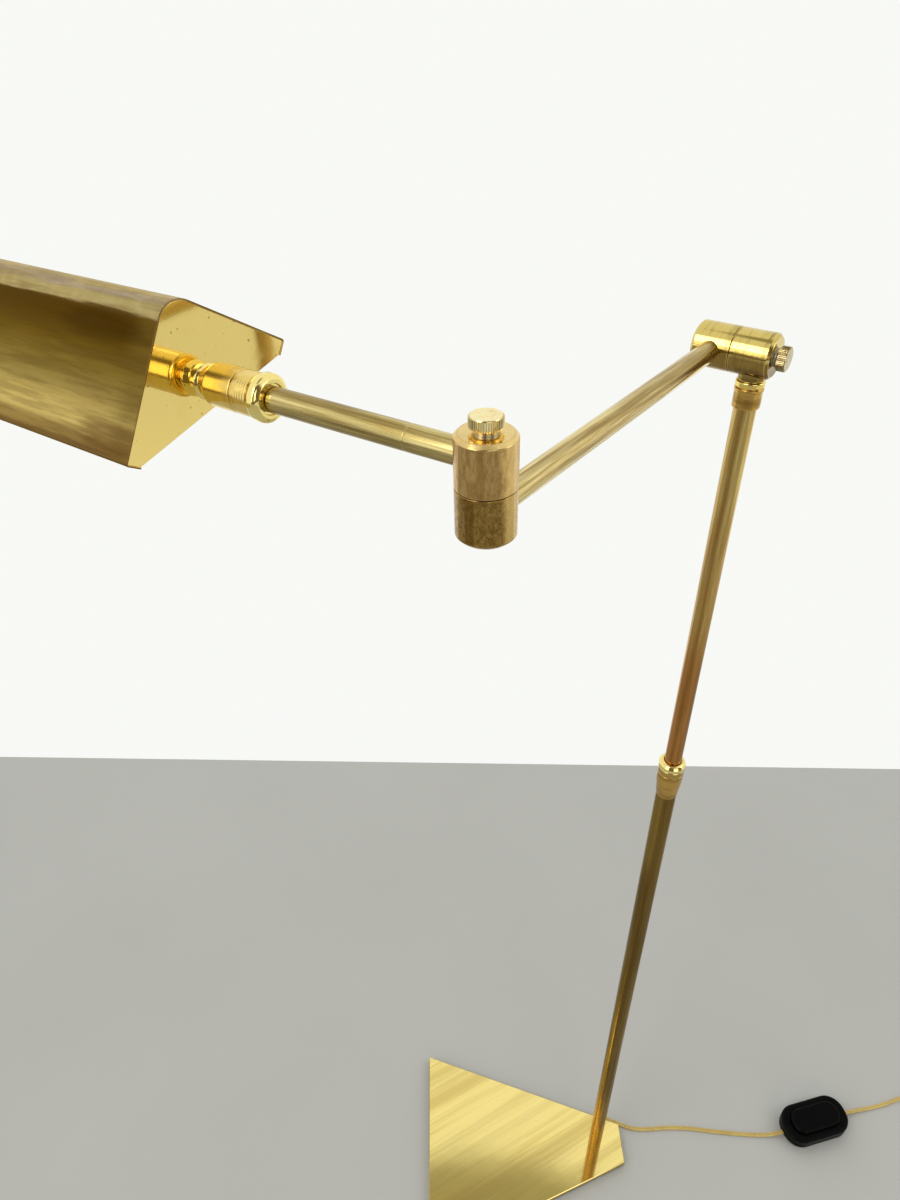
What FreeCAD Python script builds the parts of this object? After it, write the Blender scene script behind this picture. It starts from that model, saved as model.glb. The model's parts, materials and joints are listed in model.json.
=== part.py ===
import FreeCAD, Part
import math
import os
import re

import Sketcher
from FreeCAD import Placement, Rotation, Vector

# Adjustable floor reading lamp in polished brass, in millimetres.
# The pole's axis is Z, the floor is Z = 0, and the lamp stands as it is set in use:
# arm level, elbow folded to the left, shade rolled a little away from the front.

SIZES = {
    # Base plate, felt and the pole's foot
    "felt_thick": 1.5,
    "felt_inset": 4.0,
    "plate_thick": 10.5,
    "plate_front_x": 41.0,
    "plate_front_half": 25.5,
    "plate_back_x": -248.0,
    "plate_back_half": 132.0,
    "plate_corner": 2.0,
    "plate_edge": 0.8,
    "seat_r": 11.5,
    "seat_deep": 7.2,
    "foot_plug_long": 24.0,
    "nipple_r": 5.0,
    "nipple_bore": 3.2,
    "nipple_low": 5.0,
    "washer_thick": 1.0,
    "nut_flats": 14.0,
    "jam_nut_thick": 1.7,
    "slot_wide": 9.0,
    "slot_high": 4.6,
    # Pole tubes and the clamp between them
    "lower_tube_r": 9.0,
    "upper_tube_r": 7.25,
    "tube_wall": 1.0,
    "lower_tube_long": 822.0,
    "collet_overlap": 23.0,
    "collet_taper": 11.0,
    "collet_r": 12.15,
    "collet_body_long": 23.0,
    "clamp_r": 13.35,
    "clamp_long": 15.6,
    "clamp_round": 3.4,
    "clamp_foot_edge": 0.8,
    "jaw_shoulder": 5.0,
    "jaw_step": 0.6,
    "jaw_wall": 1.7,
    "jaw_slit": 1.2,
    "ferrule_r": 8.75,
    "ferrule_long": 13.6,
    "upper_tube_long": 620.0,
    "bush_long": 28.0,
    "bush_lip": 3.0,
    # Pivot joints: two turned halves, a stud, washers and a thumb knob
    "joint_height": 1211.0,
    "boss_drop": 22.0,
    "ferrule_drop": 34.0,
    "half_r": 14.0,
    "half_long": 24.9,
    "split_gap": 0.6,
    "half_wall": 2.8,
    "end_wall": 4.6,
    "half_rim": 1.8,
    "half_edge": 0.7,
    "tube_station": 12.5,
    "stud_r": 3.0,
    "stud_seat": 3.1,
    "neck_long": 1.4,
    "spring_r": 5.6,
    "knob_r": 7.75,
    "knob_long": 6.2,
    "knob_edge": 0.5,
    "knob_cover": 1.2,
    "knurl_deep": 0.32,
    "knurl_count": 48,
    "fibre_inner": 10.2,
    "fibre_outer": 12.9,
    "boss_r": 8.9,
    "boss_spigot_long": 14.0,
    # Arms
    "arm_r": 6.5,
    "arm_seat": 11.6,
    "arm_one_long": 248.0,
    "stub_end": 38.8,
    "seam_gap": 0.4,
    "stub_spigot_long": 12.0,
    # Swivel between the second arm and the shade, stations along the arm from the elbow
    "ring_start": 121.7,
    "ring_long": 8.0,
    "ring_r": 12.25,
    "ring_recess_r": 7.75,
    "ring_recess_deep": 1.3,
    "sleeve_r": 11.2,
    "sleeve_long": 11.3,
    "sleeve_bead": 0.35,
    "sleeve_beads": 4,
    "sleeve_floor": 4.2,
    "swivel_gap": 0.3,
    "cup_long": 20.2,
    "cup_round": 4.8,
    "cup_wall": 2.4,
    "web_start": 3.0,
    "web_thick": 2.5,
    "swivel_tube_r": 5.0,
    "swivel_tube_bore": 3.4,
    "slotted_nut_r": 6.2,
    "slotted_nut_thick": 3.0,
    "neck_r": 6.5,
    "neck_beads": 3,
    "shade_neck_long": 3.6,
    "bead_r": 9.5,
    "bead_long": 6.4,
    "neck_tail_long": 4.0,
    "neck_screw_long": 15.0,
    # Shade: a tent of sheet with a rounded ridge, hems and two end plates
    "shade_long": 240.0,
    "shade_sheet": 0.9,
    "shade_lip": 0.5,
    "shade_top": 49.0,
    "shade_half": 60.5,
    "shade_hem": 6.4,
    "ridge_r": 14.0,
    "hem_r": 1.6,
    "plate_sheet": 1.2,
    # Lamp holder and tubular bulb
    "holder_r": 14.0,
    "holder_long": 50.0,
    "holder_wall": 1.8,
    "holder_shoulder": 4.0,
    "holder_step": 16.0,
    "holder_thread_long": 12.0,
    "holder_ring_r": 15.6,
    "holder_ring_long": 6.0,
    "bulb_r": 12.5,
    "bulb_long": 92.0,
    "bulb_neck_r": 7.0,
    "bulb_neck_long": 9.0,
    "cap_r": 6.9,
    "cap_long": 22.0,
    # Mains flex, foot switch and plug
    "flex_r": 2.2,
    "pole_flex_top": 270.0,
    "cord_r": 2.3,
    "coil_pitch": 6.2,
    "coil_layer": 5.2,
    "coil_outer": 46.0,
    "coil_turns": 4,
    "switch_long": 101.0,
    "switch_wide": 53.0,
    "switch_corner": 24.0,
    "switch_foot": 1.0,
    "switch_foot_r": 4.5,
    "foot_inset_x": 24.7,
    "foot_inset_y": 8.45,
    "switch_base_high": 8.0,
    "switch_bevel": 2.4,
    "switch_seam": 0.4,
    "switch_cover_high": 12.6,
    "switch_cover_edge": 3.2,
    "switch_wall": 2.2,
    "pad_long": 76.0,
    "pad_wide": 34.0,
    "pad_corner": 16.0,
    "pad_gap": 0.45,
    "pad_rise": 5.6,
    "pad_lip": 2.0,
    "pad_edge": 2.4,
    "lip_deep": 2.0,
    "contact_long": 30.0,
    "contact_wide": 16.0,
    "contact_high": 6.5,
    "coil_spring_r": 4.0,
    "spring_wire_r": 0.45,
    "spring_turns": 4,
    "screw_inset_x": 10.5,
    "screw_inset_y": 12.5,
    "screw_long": 14.0,
    "screw_r": 1.5,
    "screw_head_r": 2.9,
    "cord_hole_r": 2.6,
    "plug_wide": 26.0,
    "plug_deep": 13.6,
    "plug_long": 35.0,
    "plug_tail_wide": 14.0,
    "plug_edge": 2.5,
    "pin_r": 2.0,
    "pin_long": 19.0,
    "pin_root_r": 1.6,
    "pin_waist": 0.5,
    "pin_tip": 0.6,
    "pin_spread": 18.6,
    "pin_root": 6.0,
    "relief_long": 26.0,
    "relief_r": 4.6,
    "relief_tip_r": 3.3,
}

# How the lamp is set: directions in plan, in degrees from +X, and the shade's roll
ARM_ONE_HEADING = 231.2
ARM_TWO_HEADING = 145.27
SHADE_ROLL = 12.9
SWITCH_HEADING = 12.5
SWITCH_PLACE = Vector(338.0, 22.0, 0.0)
PLUG_PLACE = Vector(594.0, 72.0, 6.8)
PLUG_HEADING = 14.0
COIL_PLACE = Vector(551.0, 18.6, 0.0)
COIL_ENTRY = 100.0

# The cord's way, as points chosen by hand: under the plate, to the switch, on to the coil, to the plug
# (the way under the plate is counted in radii of the seat, like the slot that it runs in)
FOOT_ROUTE = [(0.0, 0.452), (-0.348, 1.217), (-0.522, 2.261), (-0.391, 3.270), (0.217, 3.452)]
CORD_TO_SWITCH = [
    (2.9, 39.8, 3.7), (16.0, 42.0, 2.6), (30.0, 35.5, 2.3), (43.5, 30.0, 2.3), (61.0, 22.6, 2.3),
    (86.0, 21.0, 2.3), (113.0, 22.9, 2.3), (144.0, 21.6, 2.3), (179.0, 16.4, 2.3), (213.0, 12.2, 2.3),
    (244.0, 9.2, 2.3),
]
CORD_TO_COIL = [
    (432.0, 40.9, 2.3), (459.0, 45.4, 2.3), (486.0, 53.4, 2.3), (512.0, 58.6, 2.3),
]
CORD_TO_PLUG = [(561.0, 63.2, 7.4), (577.0, 67.4, 7.0)]

# Ratio of a hexagon's corner radius to its width across flats
HEXAGON = 0.57735
ROOT_HALF = 0.70711
ROOT_TWO = 1.41421
# Clearances: turned pieces fixed together, and pieces that turn or slide on each other
SNUG = 0.02
RUN = 0.06

doc = FreeCAD.newDocument("reading_lamp")
dim = doc.addObject("Spreadsheet::Sheet", "dim")
for line, (alias, value) in enumerate(SIZES.items(), 1):
    dim.set(f"A{line}", alias)
    dim.set(f"B{line}", str(value))
    dim.setAlias(f"B{line}", alias)
doc.recompute()

parts = {}


def size(alias):
    """A driving dimension's number, read back from the sheet."""
    return float(dim.get(alias))


def bind(text):
    """An expression in plain aliases, with each alias pointed at the sheet."""
    return re.sub(r"[a-z_]+", lambda word: f"dim.{word[0]}" if word[0] in SIZES else word[0], text)


def part(name, place=Placement()):
    """A new body whose label is the piece's name."""
    body = doc.addObject("PartDesign::Body", name)
    body.Label = name
    body.Placement = place
    parts[name] = body
    return body


def sketch_on(body, role, offset="0"):
    """An empty sketch on one of the body's own origin planes, raised by an expression."""
    sketch = body.newObject("Sketcher::SketchObject", "Sketch")
    plane = next(item for item in body.Origin.OriginFeatures if item.Role == role)
    sketch.AttachmentSupport = [(plane, "")]
    sketch.MapMode = "FlatFace"
    sketch.setExpression("AttachmentOffset.Base.z", bind(offset))
    return sketch


def pin_point(sketch, item, end, x, y):
    """Place one point of a sketch by two expressions measured from the sketch's origin."""
    for kind, text in (("DistanceX", x), ("DistanceY", y)):
        number = sketch.addConstraint(Sketcher.Constraint(kind, -1, 1, item, end, 1.0))
        sketch.setExpression(f"Constraints[{number}]", bind(str(text)))


def draw_polygon(sketch, points):
    """A closed outline through points given as pairs of expressions."""
    first = sketch.GeometryCount
    count = len(points)
    spots = [Vector(math.cos(math.tau * i / count), math.sin(math.tau * i / count)) for i in range(count)]
    for i in range(count):
        sketch.addGeometry(Part.LineSegment(spots[i], spots[(i + 1) % count]))
    for i in range(count):
        following = first + (i + 1) % count
        sketch.addConstraint(Sketcher.Constraint("Coincident", first + i, 2, following, 1))
    for i, (x, y) in enumerate(points):
        pin_point(sketch, first + i, 1, x, y)


def draw_circle(sketch, x, y, radius):
    """A circle placed and sized by expressions."""
    item = sketch.addGeometry(Part.Circle(Vector(0, 0, 0), Vector(0, 0, 1), 1.0))
    pin_point(sketch, item, 3, x, y)
    number = sketch.addConstraint(Sketcher.Constraint("Radius", item, 1.0))
    sketch.setExpression(f"Constraints[{number}]", bind(str(radius)))


def draw_box(sketch, x, y):
    """A rectangle centred on the sketch's origin, from its half sizes."""
    draw_polygon(sketch, [(f"-({x})", f"-({y})"), (x, f"-({y})"), (x, y), (f"-({x})", y)])


def draw_rounded_box(sketch, x, y, corner):
    """A rectangle with round corners, centred on the sketch's origin, from its half sizes."""
    ways = [(1, -1), (1, 1), (-1, 1), (-1, -1)]
    lines = []
    arcs = []
    for i, (right, up) in enumerate(ways):
        centre = Vector(right * 10, up * 6)
        quarter = Part.Circle(centre, Vector(0, 0, 1), 3)
        start = math.radians(90 * i - 90)
        arcs.append(sketch.addGeometry(Part.ArcOfCircle(quarter, start, start + math.pi / 2)))
        following = ways[(i + 1) % 4]
        out = Vector(math.cos(start + math.pi / 2), math.sin(start + math.pi / 2)) * 3
        ahead = Vector(following[0] * 10, following[1] * 6)
        lines.append(sketch.addGeometry(Part.LineSegment(centre + out, ahead + out)))
    for i, (right, up) in enumerate(ways):
        sketch.addConstraint(Sketcher.Constraint("Tangent", arcs[i], 2, lines[i], 1))
        sketch.addConstraint(Sketcher.Constraint("Tangent", lines[i], 2, arcs[(i + 1) % 4], 1))
        pin_point(sketch, arcs[i], 3, f"{right} * ({x} - ({corner}))", f"{up} * ({y} - ({corner}))")
        number = sketch.addConstraint(Sketcher.Constraint("Radius", arcs[i], 3.0))
        sketch.setExpression(f"Constraints[{number}]", bind(corner))


def turned(name, profile, place=Placement()):
    """A body turned about its own Z axis from (radius, height) expressions."""
    body = part(name, place)
    sketch = sketch_on(body, "XZ_Plane")
    draw_polygon(sketch, profile)
    turn = body.newObject("PartDesign::Revolution", "Turned")
    turn.Profile = sketch
    turn.ReferenceAxis = (sketch, ["V_Axis"])
    turn.Angle = 360
    doc.recompute()
    return body


def pad(body, sketch, height):
    """Pad a sketch along its normal by an expression."""
    feature = body.newObject("PartDesign::Pad", "Pad")
    feature.Profile = sketch
    feature.setExpression("Length", bind(height))
    doc.recompute()
    return feature


def pocket(body, sketch, depth, forward=False):
    """Cut a sketch by a depth against its normal, or along it, and make sure that it cuts."""
    before = body.Shape.Volume
    feature = body.newObject("PartDesign::Pocket", "Pocket")
    feature.Profile = sketch
    feature.setExpression("Length", bind(depth))
    feature.Reversed = forward
    doc.recompute()
    if body.Shape.Volume > before - 1e-3:
        raise RuntimeError(f"{body.Label}: a pocket cuts nothing")
    return feature


def dress(body, kind, amount, wanted):
    """A fillet or chamfer on the edges of the body's tip that a test picks."""
    tip = body.Tip
    edges = [f"Edge{i}" for i, edge in enumerate(tip.Shape.Edges, 1) if wanted(edge)]
    if not edges:
        raise RuntimeError(f"{body.Label}: no edge to dress")
    feature = body.newObject(f"PartDesign::{kind}", kind)
    feature.Base = (tip, edges)
    feature.setExpression("Radius" if kind == "Fillet" else "Size", bind(amount))
    doc.recompute()
    if "Invalid" in feature.State:
        raise RuntimeError(f"{body.Label}: a {kind} fails")
    return feature


def upright(edge):
    """Whether an edge is a straight line along the body's Z."""
    ends = [vertex.Point for vertex in edge.Vertexes]
    if len(ends) < 2 or edge.Curve.TypeId != "Part::GeomLine":
        return False
    return abs((ends[1] - ends[0]).normalize().z) > 0.999


def level_at(height):
    """A test for edges that lie wholly at one height."""
    return lambda edge: abs(edge.BoundBox.ZMin - height) < 1e-3 and abs(edge.BoundBox.ZMax - height) < 1e-3


def repeat_around(body, feature, count):
    """Repeat a feature around the body's Z axis."""
    pattern = body.newObject("PartDesign::PolarPattern", "Around")
    pattern.Originals = [feature]
    axis = next(item for item in body.Origin.OriginFeatures if item.Role == "Z_Axis")
    pattern.Axis = (axis, [""])
    pattern.Angle = 360
    pattern.setExpression("Occurrences", bind(count))
    body.Tip = pattern
    doc.recompute()
    return pattern


def solids(name, shapes, place=Placement()):
    """A piece made from one or more plain solids, such as a group of equal fasteners."""
    piece = doc.addObject("Part::Feature", name)
    piece.Label = name
    piece.Shape = shapes[0] if len(shapes) == 1 else Part.makeCompound(shapes)
    piece.Placement = place
    parts[name] = piece
    return piece


def tube_profile(inner, outer, low, high):
    """The profile of a plain tube or washer."""
    return [(inner, low), (outer, low), (outer, high), (inner, high)]


def heading(degrees):
    """A level unit vector from its direction in plan."""
    return Vector(math.cos(math.radians(degrees)), math.sin(math.radians(degrees)), 0)


def frame(origin, z_axis, x_axis):
    """A placement from an origin, its Z axis and its X axis."""
    return Placement(origin, Rotation(x_axis, z_axis.cross(x_axis), z_axis, "ZXY"))


# Where things are, worked out from the sizes
UP = Vector(0, 0, 1)
PLATE_TOP = size("felt_thick") + size("plate_thick")
STAND = Placement(Vector(0, 0, PLATE_TOP), Rotation())
arm_one = heading(ARM_ONE_HEADING)
arm_two = heading(ARM_TWO_HEADING)
tilt_axis = arm_one.cross(UP) * -1
tilt_split = UP * (PLATE_TOP + size("joint_height")) - tilt_axis * size("tube_station")
arm_one_root = tilt_split - tilt_axis * size("tube_station")
elbow_low = arm_one_root + arm_one * size("arm_one_long")
elbow_split = elbow_low + UP * size("tube_station")
elbow_high = elbow_split + UP * size("tube_station")
shade_side = arm_two.cross(UP)
roll = math.radians(SHADE_ROLL)
shade_up = UP * math.cos(roll) - shade_side * math.sin(roll)
ARM_TWO_FRAME = frame(elbow_high, arm_two, UP.cross(arm_two))
SHADE_FRAME = frame(elbow_high, arm_two, shade_up.cross(arm_two))


# Base plate, felt and the pole's foot
def plate_outline(inset):
    """The plate's four corners, drawn in by an inset that follows its slanted sides."""
    lean = "(plate_back_half - plate_front_half) / (plate_front_x - plate_back_x)"
    grow = f"{inset} * sqrt(1 + ({lean}) * ({lean}))"
    front_half = f"plate_front_half + ({lean}) * {inset} - {grow}"
    back_half = f"plate_back_half - ({lean}) * {inset} - {grow}"
    front_x = f"plate_front_x - {inset}"
    back_x = f"plate_back_x + {inset}"
    return [
        (back_x, f"-({back_half})"),
        (front_x, f"-({front_half})"),
        (front_x, front_half),
        (back_x, back_half),
    ]


def slot_outline(reach):
    """The cord's way from under the pole to the plate's rear edge, bent so that it leaves level."""
    return [
        ("-slot_wide * 1.2", "0"),
        ("slot_wide * 0.6", "0"),
        ("slot_wide * 0.3", "seat_r * 2.2"),
        ("slot_wide * 1.1", "seat_r * 2.85"),
        ("slot_wide * 1.1", f"seat_r * 2.85 + {reach}"),
        ("-slot_wide * 0.4", f"seat_r * 2.85 + {reach}"),
        ("-slot_wide * 1.2", "seat_r * 2.6"),
    ]


def make_base():
    plate = part("base_plate")
    sketch = sketch_on(plate, "XY_Plane", "felt_thick")
    draw_polygon(sketch, plate_outline("0"))
    pad(plate, sketch, "plate_thick")
    dress(plate, "Fillet", "plate_corner", upright)
    dress(plate, "Chamfer", "plate_edge", level_at(PLATE_TOP))
    sketch = sketch_on(plate, "XY_Plane", "felt_thick")
    draw_circle(sketch, 0, 0, "seat_r")
    pocket(plate, sketch, "seat_deep", forward=True)
    sketch = sketch_on(plate, "XY_Plane", "felt_thick")
    draw_circle(sketch, 0, 0, f"nipple_r + {SNUG}")
    pocket(plate, sketch, "plate_thick", forward=True)
    sketch = sketch_on(plate, "XY_Plane", "felt_thick")
    draw_polygon(sketch, slot_outline("seat_r * 2"))
    pocket(plate, sketch, "slot_high", forward=True)

    felt = part("base_felt")
    sketch = sketch_on(felt, "XY_Plane")
    draw_polygon(sketch, plate_outline("felt_inset"))
    pad(felt, sketch, "felt_thick")
    dress(felt, "Fillet", "plate_corner", upright)

    turned("pole_foot_plug", [
        (f"nipple_r + {SNUG}", "0"),
        (f"lower_tube_r - tube_wall - {SNUG}", "0"),
        (f"lower_tube_r - tube_wall - {SNUG}", "foot_plug_long"),
        (f"nipple_r + {SNUG}", "foot_plug_long"),
    ], STAND)
    turned("base_nipple", tube_profile("nipple_bore", "nipple_r", "nipple_low + washer_thick",
                                       "felt_thick + plate_thick + foot_plug_long - 2"))
    seat = "felt_thick + seat_deep"
    turned("base_washer", tube_profile(f"nipple_r + {SNUG}", "seat_r - 1",
                                       f"{seat} - washer_thick", seat))
    nut = part("base_nut")
    sketch = sketch_on(nut, "XY_Plane", f"{seat} - washer_thick - jam_nut_thick")
    corner = f"nut_flats * {HEXAGON}"
    draw_polygon(sketch, [
        (corner, "0"), (f"{corner} / 2", "nut_flats / 2"), (f"-{corner} / 2", "nut_flats / 2"),
        (f"-{corner}", "0"), (f"-{corner} / 2", "-nut_flats / 2"), (f"{corner} / 2", "-nut_flats / 2"),
    ])
    draw_circle(sketch, 0, 0, f"nipple_r + {SNUG}")
    pad(nut, sketch, "jam_nut_thick")


# Pole: two tubes, the clamp between them, and the guide bush that slides inside
def make_pole():
    turned("lower_tube", tube_profile("lower_tube_r - tube_wall", "lower_tube_r", "0", "lower_tube_long"),
           STAND)
    collet_low = "lower_tube_long - collet_overlap"
    body_top = f"{collet_low} + collet_taper + collet_body_long"
    jaw_top = f"{body_top} + clamp_long - jaw_shoulder"
    bore = f"upper_tube_r + {RUN}"
    seat_top = "lower_tube_long"
    collet = turned("collet_body", [
        (f"lower_tube_r + {SNUG}", collet_low),
        ("lower_tube_r + 0.5", collet_low),
        ("collet_r", f"{collet_low} + collet_taper"),
        ("collet_r", body_top),
        ("upper_tube_r + jaw_wall + jaw_step", body_top),
        ("upper_tube_r + jaw_wall + jaw_step", f"{body_top} + jaw_shoulder"),
        ("upper_tube_r + jaw_wall", jaw_top),
        (bore, jaw_top),
        (bore, seat_top),
        (f"lower_tube_r + {SNUG}", seat_top),
    ], STAND)
    sketch = sketch_on(collet, "XZ_Plane")
    draw_polygon(sketch, [
        ("-jaw_slit / 2", f"{body_top} + 0.8"), ("jaw_slit / 2", f"{body_top} + 0.8"),
        ("jaw_slit / 2", f"{jaw_top} + 1"), ("-jaw_slit / 2", f"{jaw_top} + 1"),
    ])
    slit = pocket(collet, sketch, "collet_r", forward=True)
    repeat_around(collet, slit, "4")

    ring_low = f"{body_top} + 0.3"
    ring_top = f"{body_top} + clamp_long"
    turned("clamp_ring", [
        (f"upper_tube_r + jaw_wall + jaw_step + {RUN}", ring_low),
        ("clamp_r - clamp_foot_edge", ring_low),
        ("clamp_r", f"{ring_low} + clamp_foot_edge"),
        ("clamp_r", f"{ring_top} - clamp_round - 1.6"),
        ("clamp_r - clamp_round * 0.29", f"{ring_top} - clamp_round * 0.71 - 0.9"),
        ("clamp_r - clamp_round", f"{ring_top} - 0.7"),
        ("upper_tube_r + 1.6", ring_top),
        ("upper_tube_r + 0.25", f"{ring_top} - 0.6"),
        ("upper_tube_r + 0.25", f"{jaw_top} + 0.4"),
        (f"upper_tube_r + jaw_wall + {RUN}", f"{jaw_top} + 0.4"),
        (f"upper_tube_r + jaw_wall + jaw_step + {RUN}", f"{body_top} + jaw_shoulder"),
    ], STAND)

    tube_top = "joint_height - boss_drop"
    low = f"{tube_top} - upper_tube_long"
    turned("upper_tube", tube_profile("upper_tube_r - tube_wall", "upper_tube_r", low, tube_top), STAND)
    turned("guide_bush", [
        ("flex_r + 1.2", f"{low} - bush_lip"),
        (f"lower_tube_r - tube_wall - {RUN}", f"{low} - bush_lip"),
        (f"lower_tube_r - tube_wall - {RUN}", f"{low} + bush_long"),
        (f"upper_tube_r + {RUN}", f"{low} + bush_long"),
        (f"upper_tube_r + {RUN}", f"{low} - {RUN}"),
        ("flex_r + 1.2", f"{low} - {RUN}"),
    ], STAND)
    ferrule_low = "joint_height - ferrule_drop"
    ferrule_top = f"{ferrule_low} + ferrule_long"
    turned("pole_ferrule", [
        (f"upper_tube_r + {SNUG}", ferrule_low),
        ("ferrule_r - 0.4", ferrule_low),
        ("ferrule_r", f"{ferrule_low} + 0.4"),
        ("ferrule_r", f"{ferrule_top} - 3"),
        ("ferrule_r + 0.35", f"{ferrule_top} - 2.2"),
        ("ferrule_r + 0.35", f"{ferrule_top} - 0.9"),
        ("ferrule_r - 0.5", ferrule_top),
        (f"upper_tube_r + {SNUG}", ferrule_top),
    ], STAND)


# The boss that carries the top joint: a spigot in the tube and a saddle under the round half
def make_boss():
    place = frame(UP * (PLATE_TOP + size("joint_height")), UP, tilt_axis)
    seat = "ferrule_long - ferrule_drop"
    tube_end = "-boss_drop"
    boss = turned("tilt_boss", [
        ("flex_r + 0.8", f"{tube_end} - boss_spigot_long"),
        (f"upper_tube_r - tube_wall - {SNUG}", f"{tube_end} - boss_spigot_long"),
        (f"upper_tube_r - tube_wall - {SNUG}", tube_end),
        ("upper_tube_r", tube_end),
        ("upper_tube_r", f"{seat} + 0.05"),
        ("boss_r", f"{seat} + 0.05"),
        ("boss_r", "-half_r / 2"),
        ("flex_r + 0.8", "-half_r / 2"),
    ], place)
    sketch = sketch_on(boss, "YZ_Plane", "-boss_r * 2")
    draw_circle(sketch, 0, 0, f"half_r + {SNUG}")
    pocket(boss, sketch, "boss_r * 4", forward=True)


# Pivot joints. Each is built about its own Z, with the split at 0 and the knob above.
def make_half(name, place, side, hole):
    """One hollow half of a joint: side is 1 for the knob's half and -1 for the stud's."""
    sign = "" if side > 0 else "-"
    far = "half_long"
    inner = "half_r - half_wall"
    if side > 0:
        through = [(f"stud_r + {RUN}", f"{far} - end_wall"), (f"stud_r + {RUN}", far)]
    else:
        floor = f"{far} - end_wall + stud_seat"
        through = [(f"stud_r + {SNUG}", f"{far} - end_wall"), (f"stud_r + {SNUG}", floor),
                   ("0", floor), ("0", far)]
    profile = [
        (inner, "split_gap / 2"),
        (inner, f"{far} - end_wall"),
        *through,
        ("half_r - half_rim", far),
        ("half_r", f"{far} - half_rim"),
        ("half_r", "split_gap / 2 + half_edge"),
        ("half_r - half_edge", "split_gap / 2"),
    ]
    body = turned(name, [(radius, f"{sign}({height})") for radius, height in profile], place)
    sketch = sketch_on(body, "YZ_Plane")
    draw_circle(sketch, 0, f"{sign}tube_station", hole)
    pocket(body, sketch, "half_r * 2", forward=True)
    return body


def make_knob(name, place):
    """A thumb knob with a straight knurl, blind on the stud."""
    low = "half_long + neck_long"
    body = turned(name, [
        (f"stud_r + {SNUG}", low),
        ("knob_r - knob_edge * 2", low),
        ("knob_r", f"{low} + knob_edge * 2"),
        ("knob_r", f"{low} + knob_long - knob_edge"),
        ("knob_r - knob_edge", f"{low} + knob_long"),
        ("0", f"{low} + knob_long"),
        ("0", f"{low} + knob_long - knob_cover"),
        (f"stud_r + {SNUG}", f"{low} + knob_long - knob_cover"),
    ], place)
    sketch = sketch_on(body, "XY_Plane", low)
    draw_polygon(sketch, [
        ("knob_r - knurl_deep", "0"),
        ("knob_r + 0.5", "-knurl_deep - 0.1"),
        ("knob_r + 0.5", "knurl_deep + 0.1"),
    ])
    groove = pocket(body, sketch, "knob_long", forward=True)
    repeat_around(body, groove, "knurl_count")


def make_joint(name, origin, axis, stud_side, knob_side, knob_hole):
    """Both halves, the stud, the fibre washer, the spring washer and the knob of one joint."""
    stud_place = frame(origin, axis, stud_side)
    knob_place = frame(origin, axis, knob_side)
    make_half(f"{name}_stud_half", stud_place, -1, f"arm_r + {SNUG}")
    make_half(f"{name}_knob_half", knob_place, 1, knob_hole)
    turned(f"{name}_spring_washer", tube_profile(f"stud_r + {RUN}", "spring_r", "half_long + 0.05",
                                                 "half_long + neck_long - 0.05"), knob_place)
    make_knob(f"{name}_knob", knob_place)


def make_pivot_pieces():
    """The two studs and the two fibre washers, which turn with the first arm."""
    places = [frame(tilt_split, tilt_axis, arm_one), frame(elbow_split, UP, arm_one * -1)]
    radius = size("stud_r")
    low = size("half_long") - size("end_wall") + size("stud_seat")
    high = size("half_long") + size("neck_long") + size("knob_long") - size("knob_cover") - 0.2
    studs = []
    washers = []
    gap = size("split_gap")
    for place in places:
        stud = Part.makeCylinder(radius, low + high, Vector(0, 0, -low))
        hollow = Part.makeCylinder(size("fibre_inner"), gap, Vector(0, 0, -gap / 2))
        washer = Part.makeCylinder(size("fibre_outer"), gap - 0.1, Vector(0, 0, -gap / 2)).cut(hollow)
        studs.append(stud.transformGeometry(place.toMatrix()))
        washers.append(washer.transformGeometry(place.toMatrix()))
    solids("pivot_studs", studs)
    solids("fibre_washers", washers)


# Arms: straight tubes between the joints
def make_arms():
    turned("arm_one_tube", tube_profile("arm_r - tube_wall", "arm_r", "arm_seat", "arm_one_long - arm_seat"),
           frame(arm_one_root, arm_one, UP))
    turned("arm_two_stub", [
        ("arm_r - tube_wall", "arm_seat"),
        ("arm_r", "arm_seat"),
        ("arm_r", "stub_end"),
        (f"arm_r - tube_wall - {SNUG}", "stub_end"),
        (f"arm_r - tube_wall - {SNUG}", "stub_end + stub_spigot_long"),
        ("arm_r - tube_wall * 2", "stub_end + stub_spigot_long"),
        ("arm_r - tube_wall * 2", "stub_end"),
        ("arm_r - tube_wall", "stub_end - 2"),
    ], ARM_TWO_FRAME)
    turned("arm_two_tube", tube_profile("arm_r - tube_wall", "arm_r", "stub_end + seam_gap",
                                        "ring_start + ring_long + sleeve_floor - 0.2"), ARM_TWO_FRAME)


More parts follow.
